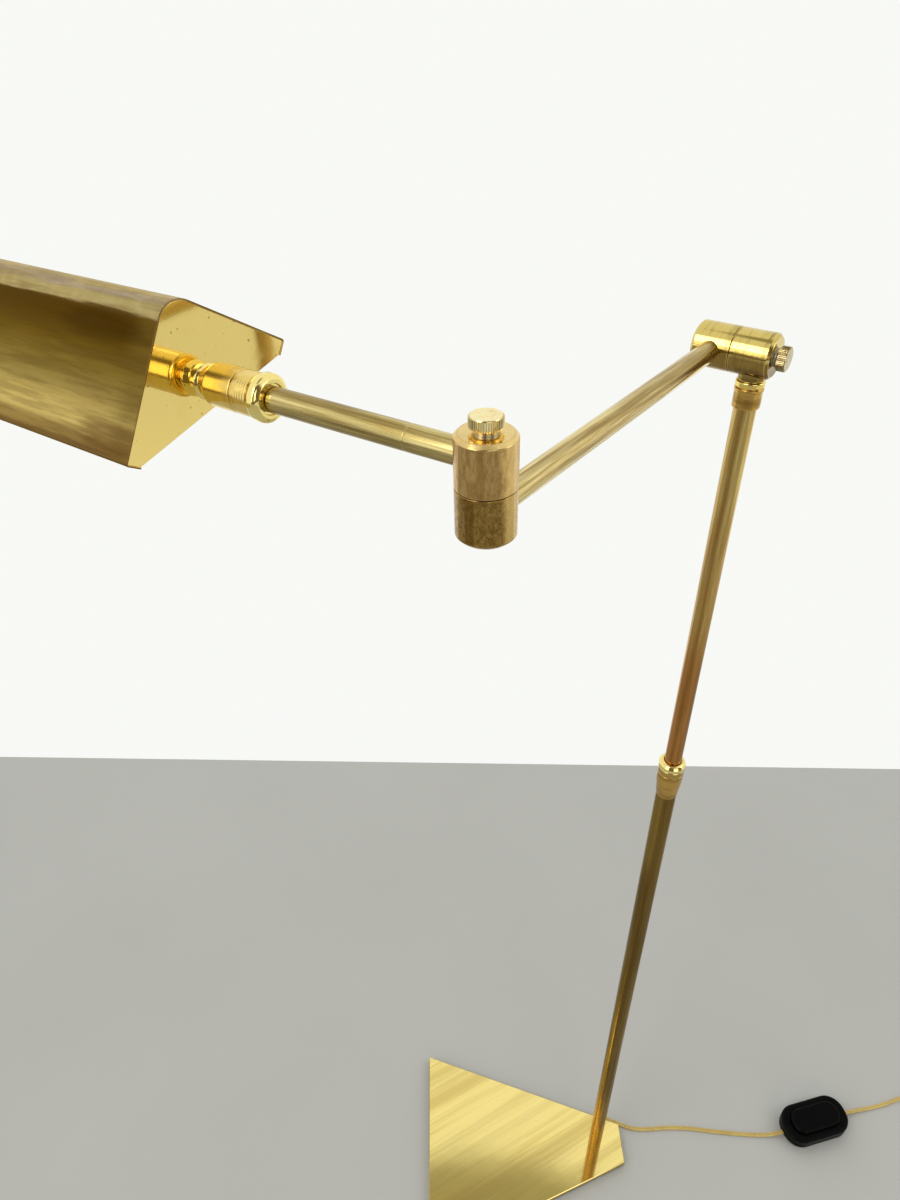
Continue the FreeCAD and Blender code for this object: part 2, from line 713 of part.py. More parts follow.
# Swivel: ring and sleeve on the arm, cup and neck on the shade, held by a hollow screw and nut
def make_swivel():
    high = "ring_start + ring_long"
    turned("swivel_ring", [
        (f"arm_r + {SNUG}", "ring_start + ring_recess_deep"),
        ("ring_recess_r", "ring_start + ring_recess_deep"),
        ("ring_recess_r", "ring_start"),
        ("ring_r - 2.6", "ring_start"),
        ("ring_r - 0.9", "ring_start + 1.2"),
        ("ring_r", "ring_start + ring_long * 0.4"),
        ("ring_r", "ring_start + ring_long * 0.6"),
        ("ring_r - 0.9", f"{high} - 1.2"),
        ("sleeve_r - 0.5", high),
        (f"arm_r + {SNUG}", high),
    ], ARM_TWO_FRAME)

    beads = []
    for i in range(int(size("sleeve_beads"))):
        start = f"{high} + sleeve_long * {i} / sleeve_beads"
        beads += [
            ("sleeve_r - sleeve_bead", f"{start}"),
            ("sleeve_r", f"{start} + sleeve_long * 0.25 / sleeve_beads"),
            ("sleeve_r", f"{start} + sleeve_long * 0.75 / sleeve_beads"),
        ]
    turned("swivel_sleeve", [
        (f"arm_r + {SNUG}", high),
        *beads,
        ("sleeve_r - sleeve_bead", f"{high} + sleeve_long"),
        (f"swivel_tube_r + {SNUG}", f"{high} + sleeve_long"),
        (f"swivel_tube_r + {SNUG}", f"{high} + sleeve_floor"),
        (f"arm_r + {SNUG}", f"{high} + sleeve_floor"),
    ], ARM_TWO_FRAME)

    cup = f"{high} + sleeve_long + swivel_gap"
    web = f"{cup} + web_start"
    end = f"{cup} + cup_long"
    inner = "sleeve_r - cup_wall"
    turned("swivel_cup", [
        (f"swivel_tube_r + {RUN}", web),
        (inner, web),
        (inner, cup),
        ("sleeve_r - 0.4", cup),
        ("sleeve_r", f"{cup} + 0.4"),
        ("sleeve_r", f"{end} - cup_round"),
        ("sleeve_r - cup_round * 0.293", f"{end} - cup_round * 0.293"),
        ("sleeve_r - cup_round", end),
        (f"swivel_tube_r + {SNUG}", end),
        (f"swivel_tube_r + {SNUG}", f"{end} - neck_tail_long"),
        (inner, f"{end} - neck_tail_long - 1.5"),
        (inner, f"{web} + web_thick"),
        (f"swivel_tube_r + {RUN}", f"{web} + web_thick"),
    ], SHADE_FRAME)
    turned("swivel_screw", tube_profile("swivel_tube_bore", "swivel_tube_r", f"{high} + sleeve_floor + 0.2",
                                        f"{web} + web_thick + washer_thick + slotted_nut_thick + 0.3"),
           ARM_TWO_FRAME)
    turned("swivel_spring_washer", tube_profile(f"swivel_tube_r + {RUN}", "slotted_nut_r + 0.8",
                                                f"{web} + web_thick + 0.05",
                                                f"{web} + web_thick + washer_thick"), SHADE_FRAME)
    turned("swivel_nut", tube_profile(f"swivel_tube_r + {SNUG}", "slotted_nut_r",
                                      f"{web} + web_thick + washer_thick + 0.05",
                                      f"{web} + web_thick + washer_thick + slotted_nut_thick"),
           ARM_TWO_FRAME)
    make_neck(end)


def make_neck(end):
    """The ringed neck, the bead against the end plate and the screwed tail through it."""
    bead = f"{end} + shade_neck_long"
    face = f"{bead} + bead_long"
    rings = []
    for i in range(int(size("neck_beads"))):
        start = f"{end} + shade_neck_long * {i} / neck_beads"
        rings += [
            ("neck_r - 0.5", f"{start} + 0.05"),
            ("neck_r", f"{start} + shade_neck_long * 0.4 / neck_beads"),
            ("neck_r", f"{start} + shade_neck_long * 0.7 / neck_beads"),
        ]
    turned("shade_neck", [
        ("swivel_tube_bore", f"{end} - neck_tail_long"),
        (f"swivel_tube_r - {SNUG}", f"{end} - neck_tail_long"),
        (f"swivel_tube_r - {SNUG}", f"{end} + 0.05"),
        *rings,
        ("neck_r - 0.3", bead),
        ("bead_r - 1.1", f"{bead} + 0.4"),
        ("bead_r", f"{bead} + 1.8"),
        ("bead_r - 0.6", f"{face} - 1.0"),
        ("bead_r - 1.0", face),
        (f"swivel_tube_r - {SNUG}", face),
        (f"swivel_tube_r - {SNUG}", f"{face} + neck_screw_long"),
        ("swivel_tube_bore", f"{face} + neck_screw_long"),
    ], SHADE_FRAME)
    turned("shade_washer", tube_profile("swivel_tube_r", "bead_r + 1", f"{face} + plate_sheet + {SNUG}",
                                        f"{face} + plate_sheet + {SNUG} + washer_thick"), SHADE_FRAME)
    turned("shade_nut", tube_profile("swivel_tube_r", "nut_flats / 2",
                                     f"{face} + plate_sheet + washer_thick + {SNUG} * 2",
                                     f"{face} + plate_sheet + washer_thick + slotted_nut_thick + {SNUG} * 2"),
           SHADE_FRAME)


SHADE_FACE = ("(ring_start + ring_long + sleeve_long + swivel_gap + cup_long + shade_neck_long"
              " + bead_long)")


# Shade, seen along its length: X is its half width and Y is up towards the ridge
def tent_side(inset):
    """Right-hand points of the tent, from the hem's free edge to the ridge, drawn in by an inset."""
    corner_y = "shade_top - shade_half"
    return [
        (f"shade_half - shade_hem - {inset} * {ROOT_HALF}", f"{corner_y} - shade_hem + {inset} * {ROOT_HALF}"),
        (f"shade_half - {inset} * {ROOT_TWO}", corner_y),
        ("0", f"shade_top - {inset} * {ROOT_TWO}"),
    ]


def mirrored(points):
    """The same points on the other side, in reverse order."""
    return [(f"-({x})", y) for x, y in reversed(points)]


def at_ridge(edge):
    """Whether an edge runs along the shade at its ridge."""
    return upright(edge) and abs(edge.CenterOfMass.x) < 1e-3 and edge.CenterOfMass.y > 0


def make_shade():
    start = f"{SHADE_FACE} - shade_lip"
    shell = part("shade_shell", SHADE_FRAME)
    outer = tent_side("0")
    inner = tent_side("shade_sheet")
    sketch = sketch_on(shell, "XY_Plane", start)
    draw_polygon(sketch, outer + mirrored(outer[:2]) + list(reversed(mirrored(inner[:2])))
                 + list(reversed(inner)))
    pad(shell, sketch, "shade_long")
    top = size("shade_top")
    dress(shell, "Fillet", "ridge_r", lambda edge: at_ridge(edge) and edge.CenterOfMass.y > top - 1e-3)
    dress(shell, "Fillet", "ridge_r - shade_sheet", at_ridge)
    low = size("shade_top") - size("shade_half")
    half = size("shade_half")
    dress(shell, "Fillet", "hem_r", lambda edge: upright(edge) and abs(edge.CenterOfMass.y - low) < 1e-3
          and abs(edge.CenterOfMass.x) > half - 1e-3)

    for name, face in (("shade_front_plate", SHADE_FACE),
                       ("shade_end_plate", f"{start} + shade_long - shade_lip - plate_sheet")):
        plate = part(name, SHADE_FRAME)
        inset = f"(shade_sheet + {SNUG})"
        side = tent_side(inset)
        clipped = [
            (f"shade_half - shade_hem - {inset} * {ROOT_HALF}", "shade_top - shade_half - shade_hem"
             f" + {inset} * {ROOT_HALF}"),
            (f"shade_half - {inset} * {ROOT_TWO} - 0.4", "shade_top - shade_half"),
            (f"shade_half - {inset} * {ROOT_TWO} - 0.4", "shade_top - shade_half + 0.4"),
            side[2],
        ]
        sketch = sketch_on(plate, "XY_Plane", face)
        draw_polygon(sketch, clipped + mirrored(clipped[:3]))
        pad(plate, sketch, "plate_sheet")
        dress(plate, "Fillet", "ridge_r - shade_sheet", at_ridge)
        if name == "shade_front_plate":
            sketch = sketch_on(plate, "XY_Plane", face)
            draw_circle(sketch, 0, 0, "swivel_tube_r")
            pocket(plate, sketch, "plate_sheet", forward=True)


# Lamp holder and bulb along the shade's axis
def make_light():
    root = f"{SHADE_FACE} + plate_sheet + washer_thick + slotted_nut_thick + 0.5"
    mouth = f"{root} + holder_long"
    turned("lamp_holder", [
        (f"swivel_tube_r + {SNUG}", root),
        ("holder_r - holder_shoulder", root),
        ("holder_r - 1.5", f"{root} + holder_shoulder"),
        ("holder_r - 1.5", f"{root} + holder_step"),
        ("holder_r", f"{root} + holder_step + 2"),
        ("holder_r", mouth),
        ("holder_r - holder_wall", mouth),
        ("holder_r - holder_wall", f"{mouth} - cap_long - 4"),
        (f"swivel_tube_r + {SNUG}", f"{mouth} - cap_long - 4"),
    ], SHADE_FRAME)
    ring_top = f"{mouth} - holder_thread_long"
    ring_low = f"{ring_top} - holder_ring_long"
    turned("holder_ring", [
        (f"holder_r + {SNUG}", ring_low),
        ("holder_ring_r - 0.6", ring_low),
        ("holder_ring_r", f"{ring_low} + 0.6"),
        ("holder_ring_r", f"{ring_top} - 0.6"),
        ("holder_ring_r - 0.6", ring_top),
        (f"holder_r + {SNUG}", ring_top),
    ], SHADE_FRAME)
    turned("holder_insert", [
        (f"cap_r + {SNUG}", f"{mouth} - cap_long - 1"),
        (f"holder_r - holder_wall - {SNUG}", f"{mouth} - cap_long - 1"),
        (f"holder_r - holder_wall - {SNUG}", f"{mouth} - 1.5"),
        (f"cap_r + {SNUG}", f"{mouth} - 1.5"),
    ], SHADE_FRAME)
    turned("bulb_cap", [
        ("0", f"{mouth} - cap_long - 3.8"),
        ("3", f"{mouth} - cap_long - 3.8"),
        ("3", f"{mouth} - cap_long - 1.8"),
        ("cap_r", f"{mouth} - cap_long"),
        ("cap_r", mouth),
        ("0", mouth),
    ], SHADE_FRAME)
    neck = f"{mouth} + bulb_neck_long"
    end = f"{mouth} + bulb_long"
    turned("bulb_glass", [
        ("0", f"{mouth} + {SNUG}"),
        ("bulb_neck_r", f"{mouth} + {SNUG}"),
        ("bulb_neck_r + 0.6", f"{mouth} + 2"),
        ("bulb_r", neck),
        ("bulb_r", f"{end} - bulb_r * 0.72"),
        ("bulb_r * 0.92", f"{end} - bulb_r * 0.42"),
        ("bulb_r * 0.70", f"{end} - bulb_r * 0.18"),
        ("bulb_r * 0.38", f"{end} - bulb_r * 0.04"),
        ("0", end),
    ], SHADE_FRAME)


# Flex inside the tubes, in one straight piece to each rigid stretch, resting on the tube's wall
def make_inner_flex():
    radius = size("flex_r")
    level = size("felt_thick") + radius + 0.05
    seat = size("seat_r")
    points = [Vector(x * seat, y * seat, level) for x, y in FOOT_ROUTE]
    top = Vector(0, 0, size("pole_flex_top"))
    solids("pole_flex", [route_tube("pole_flex", [top, Vector(0, 0, level), *points], radius)])

    def straight(name, low, high, place, bore, lean):
        """A straight flex from one station to another, leaning on one side of its tube."""
        shift = (bore - radius - 0.1) * lean
        solids(name, [Part.makeCylinder(radius, high - low, Vector(shift.x, shift.y, low))], place)

    tube_bore = size("upper_tube_r") - size("tube_wall")
    tube_top = size("joint_height") - size("boss_drop")
    straight("upper_pole_flex", tube_top - size("upper_tube_long"), tube_top - size("boss_spigot_long"), STAND,
             tube_bore, Vector(1, 0, 0))
    arm_bore = size("arm_r") - size("tube_wall")
    straight("arm_one_flex", size("arm_seat"), size("arm_one_long") - size("arm_seat"),
             frame(arm_one_root, arm_one, UP), arm_bore, Vector(-1, 0, 0))
    straight("arm_two_flex", size("stub_end") + size("stub_spigot_long"), size("ring_start"),
             ARM_TWO_FRAME, arm_bore, Vector(0, -1, 0))


# Foot switch: a tray, a cover, a wide press pad on a spring, and what is under it
def rounded_block(body, long_half, wide_half, corner, low, high):
    """A block with rounded upright corners, centred on the body's Z axis."""
    sketch = sketch_on(body, "XY_Plane", low)
    draw_rounded_box(sketch, long_half, wide_half, corner)
    pad(body, sketch, f"({high}) - ({low})")


def hollow(body, long_half, wide_half, corner, start, depth):
    """A pocket with rounded upright corners, cut upwards from a height."""
    sketch = sketch_on(body, "XY_Plane", start)
    draw_rounded_box(sketch, long_half, wide_half, corner)
    pocket(body, sketch, depth, forward=True)


def make_switch():
    place = Placement(SWITCH_PLACE, Rotation(UP, SWITCH_HEADING))
    half_long = "switch_long / 2"
    half_wide = "switch_wide / 2"
    seam = "switch_foot + switch_base_high"
    cover_low = f"{seam} + switch_seam"
    cover_top = f"{cover_low} + switch_cover_high"
    spot = (size("switch_long") / 2 - size("screw_inset_x"), size("switch_wide") / 2 - size("screw_inset_y"))
    spots = [spot, (-spot[0], -spot[1])]

    tray = part("switch_base", place)
    rounded_block(tray, half_long, half_wide, "switch_corner", "switch_foot", seam)
    dress(tray, "Chamfer", "switch_bevel", level_at(size("switch_foot")))
    hollow(tray, f"{half_long} - switch_wall", f"{half_wide} - switch_wall", "switch_corner - switch_wall",
           "switch_foot + switch_wall", "switch_base_high")
    drill_ends(tray)
    for x, y in spots:
        sketch = sketch_on(tray, "XY_Plane", "switch_foot")
        draw_circle(sketch, x, y, "screw_r + 0.1")
        pocket(tray, sketch, "switch_wall", forward=True)
        sketch = sketch_on(tray, "XY_Plane", "switch_foot")
        draw_circle(sketch, x, y, "screw_head_r + 0.1")
        pocket(tray, sketch, "switch_wall / 2", forward=True)

    cover = part("switch_cover", place)
    rounded_block(cover, half_long, half_wide, "switch_corner", cover_low, cover_top)
    top = size("switch_foot") + size("switch_base_high") + size("switch_seam") + size("switch_cover_high")
    dress(cover, "Fillet", "switch_cover_edge", level_at(top))
    hollow(cover, f"{half_long} - switch_wall", f"{half_wide} - switch_wall", "switch_corner - switch_wall",
           cover_low, "switch_cover_high - switch_wall")
    hollow(cover, "pad_long / 2 + pad_gap", "pad_wide / 2 + pad_gap", "pad_corner + pad_gap",
           f"{cover_top} - switch_wall", "switch_wall")
    for x, y in spots:
        sketch = sketch_on(cover, "XY_Plane", "switch_foot + switch_wall + 0.1")
        draw_circle(sketch, x, y, "screw_head_r + 0.3")
        draw_circle(sketch, x, y, f"screw_r + {SNUG}")
        pad(cover, sketch, f"{cover_top} - switch_wall * 0.5 - (switch_foot + switch_wall + 0.1)")

    lip_top = f"{cover_top} - switch_wall - 0.3"
    button = part("switch_pad", place)
    rounded_block(button, "pad_long / 2 + pad_lip", "pad_wide / 2 + pad_lip", "pad_corner + pad_lip",
                  f"{lip_top} - lip_deep", lip_top)
    rounded_block(button, "pad_long / 2", "pad_wide / 2", "pad_corner", lip_top, f"{cover_top} + pad_rise")
    dress(button, "Fillet", "pad_edge", level_at(top + size("pad_rise")))

    block = part("switch_contacts", place)
    sketch = sketch_on(block, "XY_Plane", "switch_foot + switch_wall")
    draw_box(sketch, "contact_long / 2", "contact_wide / 2")
    pad(block, sketch, "contact_high")
    dress(block, "Chamfer", "0.8", upright)

    spring_low = size("switch_foot") + size("switch_wall") + size("contact_high") + 0.05
    spring_top = top - size("switch_wall") - 0.3 - size("lip_deep") - 0.05
    wire = size("spring_wire_r")
    rise = spring_top - spring_low - wire * 2
    halves = round(size("spring_turns") * 2)
    turns = []
    for i in range(halves):
        side = 1 - 2 * (i % 2)
        start = Vector(side * size("coil_spring_r"), 0, spring_low + wire + rise * i / halves)
        centre = Vector(0, 0, start.z + rise / halves / 2)
        across = Vector(0, side, 0)
        disc = Part.Face(Part.Wire(Part.makeCircle(wire, start, across)))
        turns.append(disc.revolve(centre, (start - centre).cross(across), 180))
    spring = turns[0].multiFuse(turns[1:])
    solids("switch_spring", [spring], place)

    feet = []
    for x in (-1, 1):
        for y in (-1, 1):
            spot = Vector(x * (size("switch_long") / 2 - size("foot_inset_x")),
                          y * (size("switch_wide") / 2 - size("foot_inset_y")))
            feet.append(Part.makeCylinder(size("switch_foot_r"), size("switch_foot"), spot))
    solids("switch_feet", feet, place)

    screws = []
    for x, y in spots:
        head_low = size("switch_foot") + 0.1
        head = Part.makeCylinder(size("screw_head_r"), size("switch_wall") / 2 - 0.1, Vector(x, y, head_low))
        shank = Part.makeCylinder(size("screw_r"), size("screw_long"), Vector(x, y, head_low))
        screws.append(head.fuse(shank).removeSplitter())
    solids("switch_screws", screws, place)


def drill_ends(tray):
    """The two holes through which the flex enters the tray."""
    for name in ("in", "out"):
        sketch = sketch_on(tray, "YZ_Plane", "switch_long / 2 + 1" if name == "out" else "-switch_long / 2 - 1")
        draw_circle(sketch, 0, "switch_foot + switch_wall + cord_r + 0.2", "cord_hole_r")
        pocket(tray, sketch, "switch_wall + 3", forward=name == "in")


# Plug: a moulded body with its tapered relief, and two round pins
def make_plug():
    place = Placement(PLUG_PLACE, Rotation(UP, PLUG_HEADING))
    deep = size("plug_deep")
    body_low = size("relief_long")
    body_top = body_low + size("plug_long")

    round_off = size("plug_edge")
    sections = [
        rounded_wire(body_low, size("plug_tail_wide") / 2, deep * 0.4, round_off),
        rounded_wire(body_low + size("plug_long") * 0.45, size("plug_wide") / 2, deep / 2, round_off),
        rounded_wire(body_top, size("plug_wide") / 2, deep / 2, round_off),
    ]
    shell = Part.makeLoft(sections, True, True)
    ahead = Vector(1, 0, 0)
    relief = Part.makeCone(size("relief_tip_r"), size("relief_r"), body_low + 1, Vector(), ahead)
    body = shell.fuse(relief)
    root_long = size("pin_root") + size("pin_waist")
    shank_long = size("pin_long") - size("pin_waist") - size("pin_tip")
    pins = []
    for side in (-1, 1):
        spot = Vector(body_top - size("pin_root"), side * size("pin_spread") / 2, 0)
        root = Part.makeCylinder(size("pin_root_r"), root_long, spot, ahead)
        shank = Part.makeCylinder(size("pin_r"), shank_long, spot + ahead * root_long, ahead)
        tip = Part.makeCone(size("pin_r"), size("pin_r") - size("pin_tip"), size("pin_tip"),
                            spot + ahead * (root_long + shank_long), ahead)
        body = body.cut(root)
        pins.append(root.multiFuse([shank, tip]).removeSplitter())
    solids("plug_body", [body.removeSplitter()], place)
    solids("plug_pins", pins, place)


def rounded_wire(station, half_wide, half_thick, corner):
    """A rectangle with rounded corners, upright across X at a station."""
    edges = []
    corners = [(1, 1), (-1, 1), (-1, -1), (1, -1)]
    points = []
    for i, (y, z) in enumerate(corners):
        centre = Vector(station, y * (half_wide - corner), z * (half_thick - corner))
        start = math.radians(90 * i)
        arc = [centre + Vector(0, math.cos(start + turn), math.sin(start + turn)) * corner
               for turn in (0, math.pi / 4, math.pi / 2)]
        points.append(arc)
    for i, arc in enumerate(points):
        edges.append(Part.Arc(*arc).toShape())
        edges.append(Part.LineSegment(arc[2], points[(i + 1) % 4][0]).toShape())
    return Part.Wire(edges)


# Cord: straight runs joined by tangent arcs, then a neat coil of the length that isn't in use
def route_edges(name, points):
    """Lines and tangent arcs along a route; each radius is 0.45 of the shorter run over tan(turn / 2)."""
    edges = []
    radii = []
    start = points[0]
    for before, corner, after in zip(points, points[1:], points[2:]):
        back = before - corner
        ahead = after - corner
        turn = math.pi - back.getAngle(ahead)
        radius = 0.45 * min(back.Length, ahead.Length) / math.tan(turn / 2)
        reach = radius * math.tan(turn / 2)
        back.normalize()
        ahead.normalize()
        first = corner + back * reach
        last = corner + ahead * reach
        inward = back + ahead
        inward.normalize()
        middle = corner + inward * (radius / math.cos(turn / 2) - radius)
        edges.append(Part.LineSegment(start, first).toShape())
        edges.append(Part.Arc(first, middle, last).toShape())
        radii.append(round(radius, 1))
        start = last
    edges.append(Part.LineSegment(start, points[-1]).toShape())
    print(name, "radii", radii)
    return edges


def sweep(name, edges, radius):
    """A round tube along a path, with its volume compared with section times length."""
    path = Part.Wire(edges)
    first = path.OrderedEdges[0]
    section = Part.Wire(Part.makeCircle(radius, first.valueAt(first.FirstParameter),
                                        first.tangentAt(first.FirstParameter)))
    tube = path.makePipeShell([section], True, False)
    expected = math.pi * radius * radius * path.Length
    print(name, "length", round(path.Length, 1), "volume ratio", round(tube.Volume / expected, 5))
    if abs(tube.Volume / expected - 1) > 0.01:
        raise RuntimeError(f"{name}: the tube's volume is wrong")
    return tube


def route_tube(name, points, radius):
    """A tube along a route of points."""
    return sweep(name, route_edges(name, points), radius)


def half_arc(start, tangent, end):
    """The arc that leaves a point along a tangent and reaches another point."""
    chord = end - start
    slant = tangent.getAngle(chord)
    bisector = tangent + Vector(chord).normalize()
    bisector.normalize()
    return Part.Arc(start, start + bisector * (chord.Length / 2 / math.cos(slant / 2)), end).toShape()


def biarc(start, start_way, end, end_way):
    """Two tangent arcs between two points with a direction at each."""
    chord = end - start
    ways = start_way + end_way
    spread = 2 * (1 - start_way.dot(end_way))
    along = chord.dot(ways)
    reach = (-along + math.sqrt(along * along + spread * chord.dot(chord))) / spread
    meeting = (start + start_way * reach + end - end_way * reach) * 0.5
    joint_way = (end - end_way * reach) - (start + start_way * reach)
    joint_way.normalize()
    return [half_arc(start, start_way, meeting), half_arc(meeting, joint_way, end)]


def coil_point(turns, level):
    """A point of the coil's centre line, clockwise from its entry, after a number of turns."""
    inward = size("coil_turns")
    pitch = size("coil_pitch")
    outer = size("coil_outer")
    climb = min(max((turns - inward) / 0.5, 0), 1)
    if turns <= inward:
        radius = outer - pitch * turns
    else:
        radius = outer - pitch * inward + pitch * max(turns - inward - 0.5, 0)
    angle = math.radians(COIL_ENTRY) - math.tau * turns
    lift = size("coil_layer") * (1 - math.cos(math.pi * climb)) / 2
    return COIL_PLACE + Vector(radius * math.cos(angle), radius * math.sin(angle), level + lift)


def coil_way(turns, level):
    """The coil's direction after a number of turns."""
    step = 1e-4
    way = coil_point(turns + step, level) - coil_point(turns - step, level)
    way.z = 0 if abs(way.z) < 1e-6 * way.Length else way.z
    return way.normalize()


def coil_edges(level):
    """The coil's centre line: biarcs of a quarter turn, straight for one diameter at each end."""
    quarters = round(size("coil_turns") * 8)
    stations = [quarter / 4 for quarter in range(quarters + 1)]
    lead = size("cord_r") * 2
    edges = []
    start = coil_point(0, level)
    edges.append(Part.LineSegment(start - coil_way(0, level) * lead, start).toShape())
    for before, after in zip(stations, stations[1:]):
        edges += biarc(coil_point(before, level), coil_way(before, level),
                       coil_point(after, level), coil_way(after, level))
    end = coil_point(stations[-1], level)
    edges.append(Part.LineSegment(end, end + coil_way(stations[-1], level) * lead).toShape())
    return edges


def print_self_gap(path, radius):
    """Print the coil's least gap to itself, between points of its centre line half a turn or more apart."""
    points = path.discretize(Distance=radius)
    apart = round(math.pi * (size("coil_outer") - size("coil_turns") * size("coil_pitch")) / radius)
    least = min(points[i].distanceToPoint(points[k]) for i in range(len(points))
                for k in range(i + apart, len(points)))
    print("coil's least gap to itself", round(least - radius * 2, 2))


def make_cords():
    radius = size("cord_r")
    switch = Placement(SWITCH_PLACE, Rotation(UP, SWITCH_HEADING))
    entry_height = size("switch_foot") + size("switch_wall") + radius + 0.2
    reach = size("switch_long") / 2 - size("switch_wall") - 1
    enter = switch.multVec(Vector(-reach, 0, entry_height))
    before = switch.multVec(Vector(-reach - 18, 0, entry_height - 1.6))
    leave = switch.multVec(Vector(reach, 0, entry_height))
    after = switch.multVec(Vector(reach + 18, 0, entry_height - 1.6))
    first = [Vector(*point) for point in CORD_TO_SWITCH]
    second = [Vector(*point) for point in CORD_TO_COIL]
    coil = coil_edges(radius)
    coil_start = coil[0].valueAt(coil[0].FirstParameter)
    coil_end = coil[-1].valueAt(coil[-1].LastParameter)
    last = [Vector(*point) for point in CORD_TO_PLUG]

    solids("cord_to_switch", [route_tube("cord_to_switch", [*first, before, enter], radius)])
    solids("cord_to_coil", [route_tube("cord_to_coil", [leave, after, *second, coil_start], radius)])
    solids("cord_coil", [sweep("cord_coil", coil, radius)])
    solids("cord_to_plug", [route_tube("cord_to_plug", [coil_end, *last, PLUG_PLACE], radius)])
    print_self_gap(Part.Wire(coil), radius)
    print("coil starts", coil_start, "ends", coil_end)


make_base()
make_pole()
make_boss()
make_joint("tilt", tilt_split, tilt_axis, arm_one, UP * -1, "flex_r + 0.8")
make_joint("elbow", elbow_split, UP, arm_one * -1, arm_two, f"arm_r + {SNUG}")
make_pivot_pieces()
make_arms()
make_swivel()
make_shade()
make_light()
make_inner_flex()
make_switch()
make_plug()
make_cords()

doc.recompute()
for item in doc.Objects:
    if "Invalid" in item.State or "Error" in item.State:
        raise RuntimeError(f"{item.Label} failed: {item.State}")
os.makedirs("parts", exist_ok=True)
for name, piece in parts.items():
    if piece.Shape.isNull() or not piece.Shape.isValid():
        raise RuntimeError(f"{name} has no valid shape")
    piece.Shape.exportStep(f"parts/{name}.step")
print(len(parts), "pieces")
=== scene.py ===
"""The looks of the adjustable floor reading lamp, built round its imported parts."""
import json
import math

import bmesh
import bpy
from mathutils import Matrix, Vector


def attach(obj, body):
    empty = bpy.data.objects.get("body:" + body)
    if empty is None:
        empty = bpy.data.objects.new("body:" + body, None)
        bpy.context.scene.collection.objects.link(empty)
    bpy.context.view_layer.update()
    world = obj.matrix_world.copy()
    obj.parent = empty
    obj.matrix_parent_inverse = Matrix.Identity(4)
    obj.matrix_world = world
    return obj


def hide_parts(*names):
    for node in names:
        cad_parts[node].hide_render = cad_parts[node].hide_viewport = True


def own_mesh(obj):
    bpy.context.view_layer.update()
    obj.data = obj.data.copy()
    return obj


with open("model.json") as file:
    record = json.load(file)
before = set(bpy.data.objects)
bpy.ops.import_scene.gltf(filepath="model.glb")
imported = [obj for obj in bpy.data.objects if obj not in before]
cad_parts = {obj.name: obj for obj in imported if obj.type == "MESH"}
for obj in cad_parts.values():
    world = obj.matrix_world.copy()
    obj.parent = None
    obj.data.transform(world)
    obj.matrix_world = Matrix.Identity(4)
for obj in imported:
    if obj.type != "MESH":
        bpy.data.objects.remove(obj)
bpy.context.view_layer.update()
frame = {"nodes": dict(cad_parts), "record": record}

# Shapes are worked out in millimetres, and a mesh is made in metres
MM = 0.001
UP = Vector((0, 0, 1))

# How the lamp is set, and its main sizes
PLATE_TOP = 12.0
JOINT_HEIGHT = 1211.0
TUBE_STATION = 12.5
ARM_ONE_LONG = 248.0
ARM_ONE_HEADING = 231.2
ARM_TWO_HEADING = 145.27
SHADE_ROLL = 12.9
LOWER_TUBE_R = 9.0
UPPER_TUBE_R = 7.25
ARM_R = 6.5
HALF_R = 14.0
HALF_LONG = 24.9
RING_START = 121.7
SLEEVE_R = 11.2
SLEEVE_START = RING_START + 8.0
SLEEVE_LONG = 11.3
CUP_START = SLEEVE_START + SLEEVE_LONG + 0.3
CUP_LONG = 20.2
BEAD_START = CUP_START + CUP_LONG + 3.6
SHADE_FACE = BEAD_START + 6.4
# How far behind the lamp the backdrop stands, in metres, and how it slants
BACKDROP_AT = 0.761
BACKDROP_SLANT = -0.058


def heading(degrees):
    """A level unit vector from its direction in plan."""
    return Vector((math.cos(math.radians(degrees)), math.sin(math.radians(degrees)), 0))


def standing(origin, z_axis, x_axis):
    """A placement in millimetres from an origin, its Z axis and its X axis."""
    y_axis = z_axis.cross(x_axis)
    turn = Matrix((x_axis, y_axis, z_axis)).transposed()
    return Matrix.Translation(origin) @ turn.to_4x4()


arm_one = heading(ARM_ONE_HEADING)
arm_two = heading(ARM_TWO_HEADING)
tilt_axis = -arm_one.cross(UP)
tilt_split = UP * (PLATE_TOP + JOINT_HEIGHT) - tilt_axis * TUBE_STATION
arm_one_root = tilt_split - tilt_axis * TUBE_STATION
elbow_split = arm_one_root + arm_one * ARM_ONE_LONG + UP * TUBE_STATION
elbow_high = elbow_split + UP * TUBE_STATION
shade_side = arm_two.cross(UP)
shade_up = UP * math.cos(math.radians(SHADE_ROLL)) - shade_side * math.sin(math.radians(SHADE_ROLL))

AT_FLOOR = Matrix.Identity(4)
AT_PLATE = Matrix.Translation(UP * PLATE_TOP)
AT_TILT_STUD = standing(tilt_split, tilt_axis, arm_one)
AT_TILT_KNOB = standing(tilt_split, tilt_axis, -UP)
AT_ELBOW_STUD = standing(elbow_split, UP, -arm_one)
AT_ELBOW_KNOB = standing(elbow_split, UP, arm_two)
AT_ARM_ONE = standing(arm_one_root, arm_one, UP)
AT_ARM_TWO = standing(elbow_high, arm_two, UP.cross(arm_two))
AT_SHADE = standing(elbow_high, arm_two, shade_up.cross(arm_two))
AT_SWITCH = Matrix.Translation((338.0, 22.0, 0.0)) @ Matrix.Rotation(math.radians(12.5), 4, "Z")
PLUG_PLACE = Vector((594.0, 72.0, 6.8))
AT_PLUG = (Matrix.Translation(PLUG_PLACE) @ Matrix.Rotation(math.radians(14.0), 4, "Z")
           @ Matrix(((0, 0, 1, 0), (1, 0, 0, 0), (0, 1, 0, 0), (0, 0, 0, 1))))


